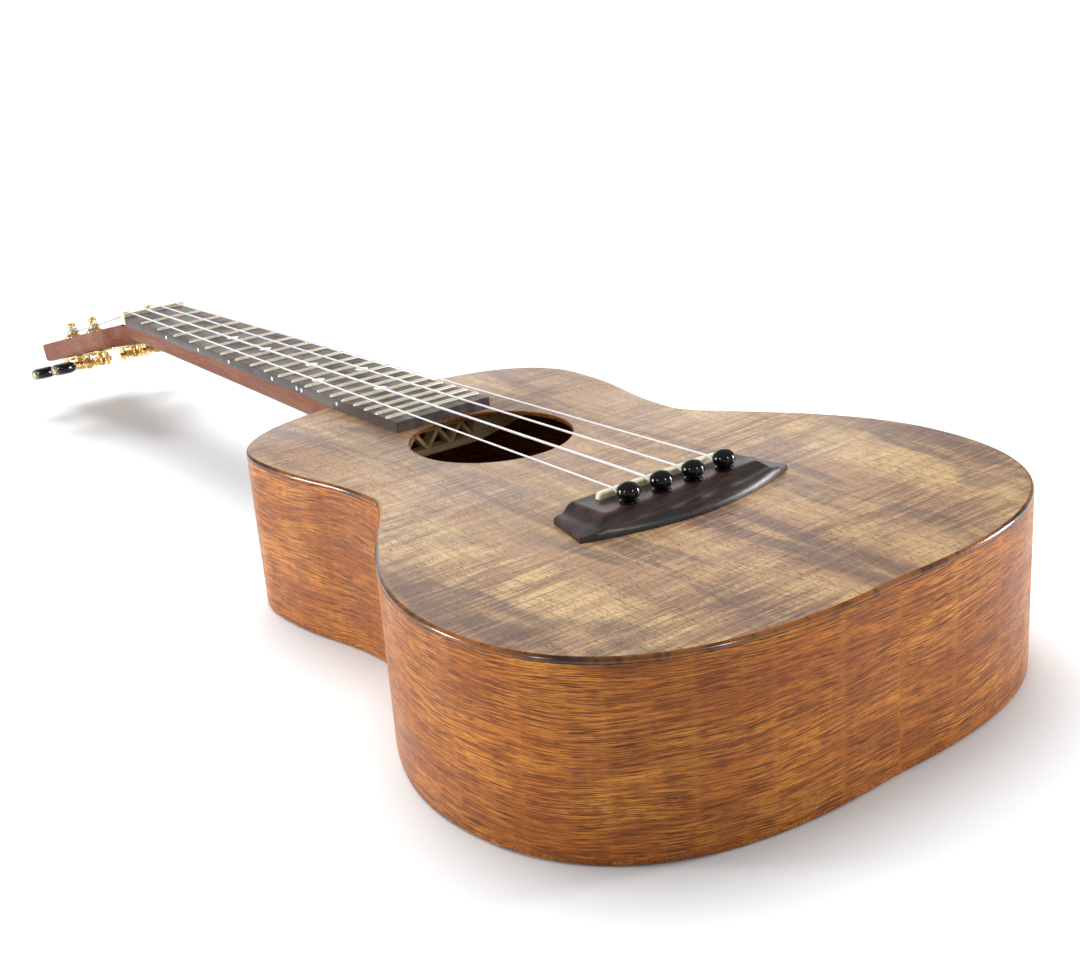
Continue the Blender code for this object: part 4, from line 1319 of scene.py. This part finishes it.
stringRadius = (0.36, 0.50, 0.43, 0.35)
nutShape = {
    "front": 432.1,
    "back": 437.0,
    "high": 6.6,
    "ends": ((18.4, 0.35), (18.2, 0.08), (17.9, 0.0)),  # distance from the middle, trim
    "action": 0.35,
    "slotGap": 0.06,
}


def nutStringHigh(index):
    return boardShape["thick"] + fretShape["high"] + nutShape["action"] + stringRadius[index]


def makeNut():
    shape = nutShape
    bm = bmesh.new()
    high, front, back = shape["high"], shape["front"], shape["back"]
    outline = [(front, 0.02), (back, 0.02), (back, high - 2.4), (436.7, high - 1.9), (435.4, high - 0.6),
               (434.6, high - 0.2), (433.6, high), (432.5, high), (432.2, high - 0.1), (front, high - 0.4)]
    rows = []
    stations = [(-x, trim) for x, trim in shape["ends"]] + [*shape["ends"][::-1]]
    for x, trim in stations:
        row = []
        for y, z in outline:
            kept = min(max(y, front + trim * 0.4), back - trim * 0.4)
            row.append(hand(x, kept, z - (trim if z > 1 else 0)))
        rows.append(row)
    skin(bm, rows)
    nut = addPiece("nut_bone", bm, (ivory,), ("nut",), 40)
    bm = bmesh.new()
    for i, x in enumerate(nutX):
        # a round-bottomed slot, open at the top
        radius = stringRadius[i] + shape["slotGap"]
        slot = [(x + radius, 9), (x - radius, 9)]
        for k in range(13):
            turn = math.pi * (1 + k / 12)
            slot.append((x + radius * math.cos(turn), nutStringHigh(i) + radius * math.sin(turn)))
        skin(bm, [[hand(px, y, pz) for px, pz in slot] for y in (428, 441)])
    cut(nut, "nut_notches", bm)


makeNeck()
makeOverlay()
makeBoard()
for number in range(1, fretShape["count"] + 1):
    makeFret(number)
makeDots("face", 32)
makeDots("side", 20)
makeNut()
print("neck ready")


# ---- tuners, each in its own frame
# X runs along the shaft with the button on the minus side, Y up the headstock, Z out of its face
tunerShape = {
    "seats": {4: (-18.0, 48.4), 3: (-18.0, 87.2), 2: (18.0, 87.2), 1: (18.0, 48.4)},
    "postRadius": 2.5,
    "teeth": 14,
    "module": 0.75,
    "wormY": 7.6,
    "plateTop": -11.4,
    "plateThick": 1.1,
    "gearMiddle": -17.1,
}


def tunerFrame(number):
    across, along = tunerShape["seats"][number]
    flip = Matrix.Diagonal((-1 if across > 0 else 1, 1, 1, 1))
    return headFrame @ Matrix.Translation(Vector((across, along, 0)) * mm) @ flip @ Matrix.Scale(mm, 4)


def around(radius, turn, z):
    return Vector((radius * math.cos(turn), radius * math.sin(turn), z))


plateShape = {
    "corners": ((3.2, -8.5, -90), (3.2, 12.5, 0), (-3.2, 12.5, 90), (-3.2, -8.5, 180)),
    "cornerRadius": 3.0,
    "ears": ((5.2, 6.2), (-6.2, -5.2)),
    "earHalf": 3.7,
    "earReach": 3.1,
    "earDrop": 0.4,
    "screwsY": (-8.2, 12.4),
    "screw": ((1.9, 0.02), (1.9, 0.25), (1.6, 0.75), (0.9, 1.05), (0.1, 1.15)),
    "screwSlot": (4.4, 0.5, 1.0),
    "slotDepth": 1.25,
}


def makePlate(number, place):
    shape = plateShape
    top, thick, middle = tunerShape["plateTop"], tunerShape["plateThick"], tunerShape["gearMiddle"]
    under = top - thick
    bm = bmesh.new()
    outline = []
    for cx, cy, start in shape["corners"]:
        for k in range(9):
            turn = math.radians(start + 90 * k / 8)
            outline.append(Vector((cx, cy, 0)) + around(shape["cornerRadius"], turn, 0))
    rows = []
    for inwards, z in ((0.0, top), (0.0, under + 0.3), (0.1, under + 0.08), (0.3, under)):
        row = []
        for p in outline:
            row.append(Vector((p.x * (1 - inwards / 6.2), p.y - inwards * (1 if p.y > 2 else -1), z)))
        rows.append(row)
    skin(bm, rows)
    half = shape["earHalf"]
    for ends in shape["ears"]:
        ear = [(-half, under + 0.05), (half, under + 0.05)]
        for k in range(13):
            turn = math.pi * k / 12
            below = shape["earDrop"] + shape["earReach"] * math.sin(turn)
            ear.append((half * math.cos(turn), middle - below))
        skin(bm, [[Vector((x, tunerShape["wormY"] + y, z)) for y, z in ear] for x in ends])
    addPiece(f"plate_{number}", bm, (goldPlate,), (f"tuner_{number}_plate",), 40, place=place)
    for i, y in enumerate(shape["screwsY"]):
        bm = bmesh.new()
        lathe(bm, shape["screw"], 28, Matrix.Translation((0, y, under)) @ Matrix.Rotation(math.pi, 4, "X"))
        screw = addPiece(f"plate_screw_{number}_{i + 1}", bm, (goldPlate,), place=place)
        turn = 0.7 + 1.9 * i + number
        cutBar(screw, "screw_slot", shape["screwSlot"], turn, "Z", (0, y, under - shape["slotDepth"]), place)


bushingProfile = ((2.7, -8.0), (4.1, -8.0), (4.1, 0.0), (5.0, 0.02), (5.1, 0.3), (5.0, 0.7), (4.6, 1.0),
                  (3.9, 1.5), (3.5, 2.1), (3.2, 2.5), (2.9, 2.6), (2.7, 2.4))


def makeBushing(number, place):
    bm = bmesh.new()
    lathe(bm, bushingProfile, 48, loopBack=True)
    replaced = (f"tuner_{number}_bushing",)
    addPiece(f"bushing_{number}", bm, (goldPlate,), replaced, 40, place=place)


# "foot" and "screw" count from the gear's middle, "shaft" and the eye from the headstock's face
postShape = {
    "foot": ((0.6, -2.6), (1.5, -2.5), (1.9, -2.1), (1.9, 1.6), (2.5, 1.62)),
    "shaft": ((2.5, 2.9), (2.42, 3.2), (2.38, 6.4), (2.45, 7.0), (2.62, 7.4), (2.7, 7.7), (2.7, 8.2),
              (2.5, 8.55), (2.0, 8.75), (0.9, 8.85)),
    "eye": ((0.75, -6), (0.75, 6)),
    "eyeHigh": 7.0,
    "screw": ((1.7, -1.55), (2.9, -1.6), (2.9, -2.2), (2.5, -2.7), (1.3, -3.0), (0.2, -3.05)),
    "screwSlot": (7, 0.7, 1.0),
    "slotHigh": -3.05,
}


def makePost(number, place):
    shape = postShape
    middle = tunerShape["gearMiddle"]
    body = f"post_{number}"
    bm = bmesh.new()
    foot = [(radius, middle + high) for radius, high in shape["foot"]]
    lathe(bm, [*foot, *shape["shaft"]], 48)
    replaced = (f"tuner_{number}_post",)
    post = addPiece(f"string_post_{number}", bm, (goldPlate,), replaced, 40, body, place)
    bm = bmesh.new()
    eyeFrame = Matrix.Translation((0, 0, shape["eyeHigh"])) @ Matrix.Rotation(math.pi / 2, 4, "X")
    lathe(bm, shape["eye"], 20, eyeFrame)
    cut(post, "post_eye", bm, place)
    # screw that holds the gear
    bm = bmesh.new()
    lathe(bm, [(radius, middle + high) for radius, high in shape["screw"]], 28)
    screw = addPiece(f"gear_screw_{number}", bm, (goldPlate,), body=body, place=place)
    high = middle + shape["slotHigh"]
    cutBar(screw, "gear_screw_slot", shape["screwSlot"], 0.9 * number, "Z", (0, 0, high), place)


# a tooth is (distance from the pitch circle, share of a step either way from its middle)
gearShape = {
    "tooth": ((-0.85, 0.38), (-0.85, 0.27), (-0.4, 0.215), (0.1, 0.16), (0.5, 0.105), (0.6, 0.06)),
    "half": 1.5,
    "soften": 0.12,
    "bore": 1.95,
}


def makeGear(number, place):
    shape = gearShape
    middle, half, soft = tunerShape["gearMiddle"], shape["half"], shape["soften"]
    pitch = tunerShape["module"] * tunerShape["teeth"] / 2
    step = 2 * math.pi / tunerShape["teeth"]
    tooth = [(out, -share) for out, share in shape["tooth"]] + [*shape["tooth"][::-1]]
    outline = []
    for i in range(tunerShape["teeth"]):
        outline += [(pitch + out, math.pi / 2 + i * step + share * step) for out, share in tooth]
    bm = bmesh.new()
    rows = []
    for z, trim in ((-half, soft), (soft - half, 0.0), (half - soft, 0.0), (half, soft)):
        rows.append([around(radius - trim, turn, middle + z) for radius, turn in outline])
    for z in (half, -half):
        rows.append([around(shape["bore"], turn, middle + z) for radius, turn in outline])
    skin(bm, rows, loopBack=True)
    replaced = (f"tuner_{number}_gear",)
    addPiece(f"gear_{number}", bm, (gearBrass,), replaced, 30, f"post_{number}", place)


# each pair is a place along the shaft and its radius
wormShape = {
    "outer": ((-27.1, 1.2), (-25.5, 1.5), (-14.9, 1.5), (-14.7, 2.1), (-14.3, 2.3), (-13.2, 2.3),
              (-12.9, 2.0), (-8.2, 2.0), (-7.9, 2.3), (-7.0, 2.3), (-6.7, 2.1), (-6.6, 1.5), (-4.8, 1.5)),
    "tip": ((4.8, 1.5), (7.0, 1.5), (7.4, 1.2), (7.5, 0.6)),
    "core": 1.5,
    "threadHigh": 1.3,
    "threadHalf": 4.6,
}


def makeWorm(number, place):
    # a round shaft with one turn of thread for each tooth that passes
    shape = wormShape
    pitch = math.pi * tunerShape["module"]
    points, steps = 40, 90
    half = shape["threadHalf"]

    def ring(x, radiusAt):
        row = []
        for i in range(points):
            turn = 2 * math.pi * i / points
            across = around(radiusAt(turn), turn, 0)
            row.append(Vector((x, tunerShape["wormY"] + across.y, tunerShape["gearMiddle"] + across.x)))
        return row

    def threadAt(x):
        fade = smooth((half - abs(x)) / 0.7)

        def radiusAt(turn):
            phase = (x / pitch - (turn + math.pi / 2) / (2 * math.pi) + 0.5) % 1.0
            near = min(phase, 1 - phase)
            return shape["core"] + shape["threadHigh"] * fade * smooth((0.27 - near) / 0.19)

        return radiusAt

    rows = [ring(x, lambda turn, radius=radius: radius) for x, radius in shape["outer"]]
    for k in range(steps + 1):
        x = -half + 2 * half * k / steps
        rows.append(ring(x, threadAt(x)))
    rows += [ring(x, lambda turn, radius=radius: radius) for x, radius in shape["tip"]]
    bm = bmesh.new()
    skin(bm, rows)
    replaced = (f"tuner_{number}_worm_shaft",)
    addPiece(f"worm_{number}", bm, (goldPlate,), replaced, 50, f"worm_{number}", place)


# levels are (place along the shaft, half width, share of the half thickness)
buttonShape = {
    "levels": ((-15.0, 3.6, 0.50), (-15.3, 4.5, 0.62), (-16.2, 5.6, 0.80), (-17.6, 6.5, 0.94),
               (-19.6, 7.2, 1.0), (-22.0, 7.75, 1.0), (-24.2, 8.1, 0.98), (-25.4, 8.05, 0.94),
               (-26.2, 7.6, 0.86), (-26.75, 6.8, 0.72), (-27.0, 5.4, 0.52)),
    "halfThick": 3.55,
    "screw": ((2.0, -0.3), (2.0, 0.25), (1.8, 0.55), (1.2, 0.85), (0.2, 0.98)),
    "screwEnd": -27.0,
    "crossBar": (0.8, 2.4, 0.45),
    "crossEnd": -28.0,
}


def squared(value, power):
    return math.copysign(abs(value) ** power, value)


def makeButton(number, place):
    shape = buttonShape
    body = f"worm_{number}"
    wormY, middle = tunerShape["wormY"], tunerShape["gearMiddle"]
    bm = bmesh.new()
    rows = []
    points = 64
    for x, wide, thick in shape["levels"]:
        row = []
        for i in range(points):
            turn = 2 * math.pi * i / points
            across = squared(math.cos(turn), 0.62) * wide
            deep = squared(math.sin(turn), 0.78) * shape["halfThick"] * thick
            row.append(Vector((x, wormY + across, middle + deep)))
        rows.append(row)
    skin(bm, rows)
    replaced = (f"tuner_{number}_button",)
    addPiece(f"button_{number}", bm, (glossBlack,), replaced, 55, body, place)
    bm = bmesh.new()
    base = Matrix.Translation((shape["screwEnd"], wormY, middle)) @ Matrix.Rotation(-math.pi / 2, 4, "Y")
    lathe(bm, shape["screw"], 32, base)
    screw = addPiece(f"button_screw_{number}", bm, (goldPlate,), body=body, place=place)
    for turn in (0.0, math.pi / 2):
        end = (shape["crossEnd"], wormY, middle)
        cutBar(screw, "button_screw_cross", shape["crossBar"], turn + 0.5 * number, "X", end, place)


for number in (1, 2, 3, 4):
    place = tunerFrame(number)
    makePlate(number, place)
    makeBushing(number, place)
    makePost(number, place)
    makeGear(number, place)
    makeWorm(number, place)
    makeButton(number, place)
print("tuners ready")


# ---- strings, and the turns that each makes round its post
windShape = {
    "startHigh": 3.3,
    "turns": 4.25,
    "perTurn": 28,
    "gap": 0.04,
    "squeeze": 0.55,
    "waist": 0.12,
}


def cordCurve(name, points, radius, body, replaced=()):
    data = bpy.data.curves.new(name, "CURVE")
    data.dimensions = "3D"
    data.bevel_depth = radius * mm
    data.bevel_resolution = 4
    data.use_fill_caps = True
    data.resolution_u = 1
    spline = data.splines.new("POLY")
    spline.points.add(len(points) - 1)
    for slot, point in zip(spline.points, points):
        slot.co = (*point, 1.0)
    data.materials.append(nylon)
    ride(newObject(name, data), body, replaced)


def makeString(index):
    number = 4 - index
    radius = stringRadius[index]
    x = pinX[index]
    holeY = pinY + 1.9
    # up out of the hole beside the pin, over the saddle's crown, and through the nut
    points = [hand(x, holeY + y, z) for y, z in ((0, -8.0), (0, 5.6), (0.15, 6.2), (0.5, 6.65))]
    halfThick, crownRound = saddleShape["thick"] / 2, saddleShape["crownRound"]
    shoulder = saddleShape["top"] - crownRound - saddleShape["wear"]
    reach = radius + 0.02
    for turn in (150, 130, 110, 96, 88):
        lean = math.radians(turn)
        y = -halfThick + (halfThick + reach) * math.cos(lean)
        points.append(hand(x, y, shoulder + (crownRound + reach) * math.sin(lean)))
    high = nutStringHigh(index)
    for y, drop in ((432.3, 0), (434.6, 0), (435.3, 0.12)):
        points.append(hand(nutX[index], y, high - drop))
    across, along = tunerShape["seats"][number]
    inward = -1 if across > 0 else 1
    wind = tunerShape["postRadius"] + 0.05 + radius
    startHigh = windShape["startHigh"]

    def roundPost(reach, turn, above):
        return headPoint(across + inward * reach * math.cos(turn), along + reach * math.sin(turn), above)

    points.append(headPoint(across + inward * wind, along - 1.0, startHigh))
    points.append(roundPost(wind, 0.0, startHigh))
    cordCurve(f"string_{number}_speaking", points, radius, "instrument", (f"string_{number}",))
    # the turns, then a short tuck of the end in towards the post
    perTurn = windShape["perTurn"]
    pitch = (2 * radius + windShape["gap"]) * windShape["squeeze"]
    last = int(windShape["turns"] * perTurn)
    winding = []
    for i in range(last + 1):
        swell = wind - windShape["waist"] * math.sin(math.pi * i / last)
        winding.append(roundPost(swell, 2 * math.pi * i / perTurn, startHigh + pitch * i / perTurn))
    endTurn = 2 * math.pi * last / perTurn + 0.35
    winding.append(roundPost(wind - 0.2, endTurn, startHigh + pitch * last / perTurn + 0.3))
    cordCurve(f"winding_{number}", winding, radius, f"post_{number}")


for index in range(4):
    makeString(index)
print("strings ready")
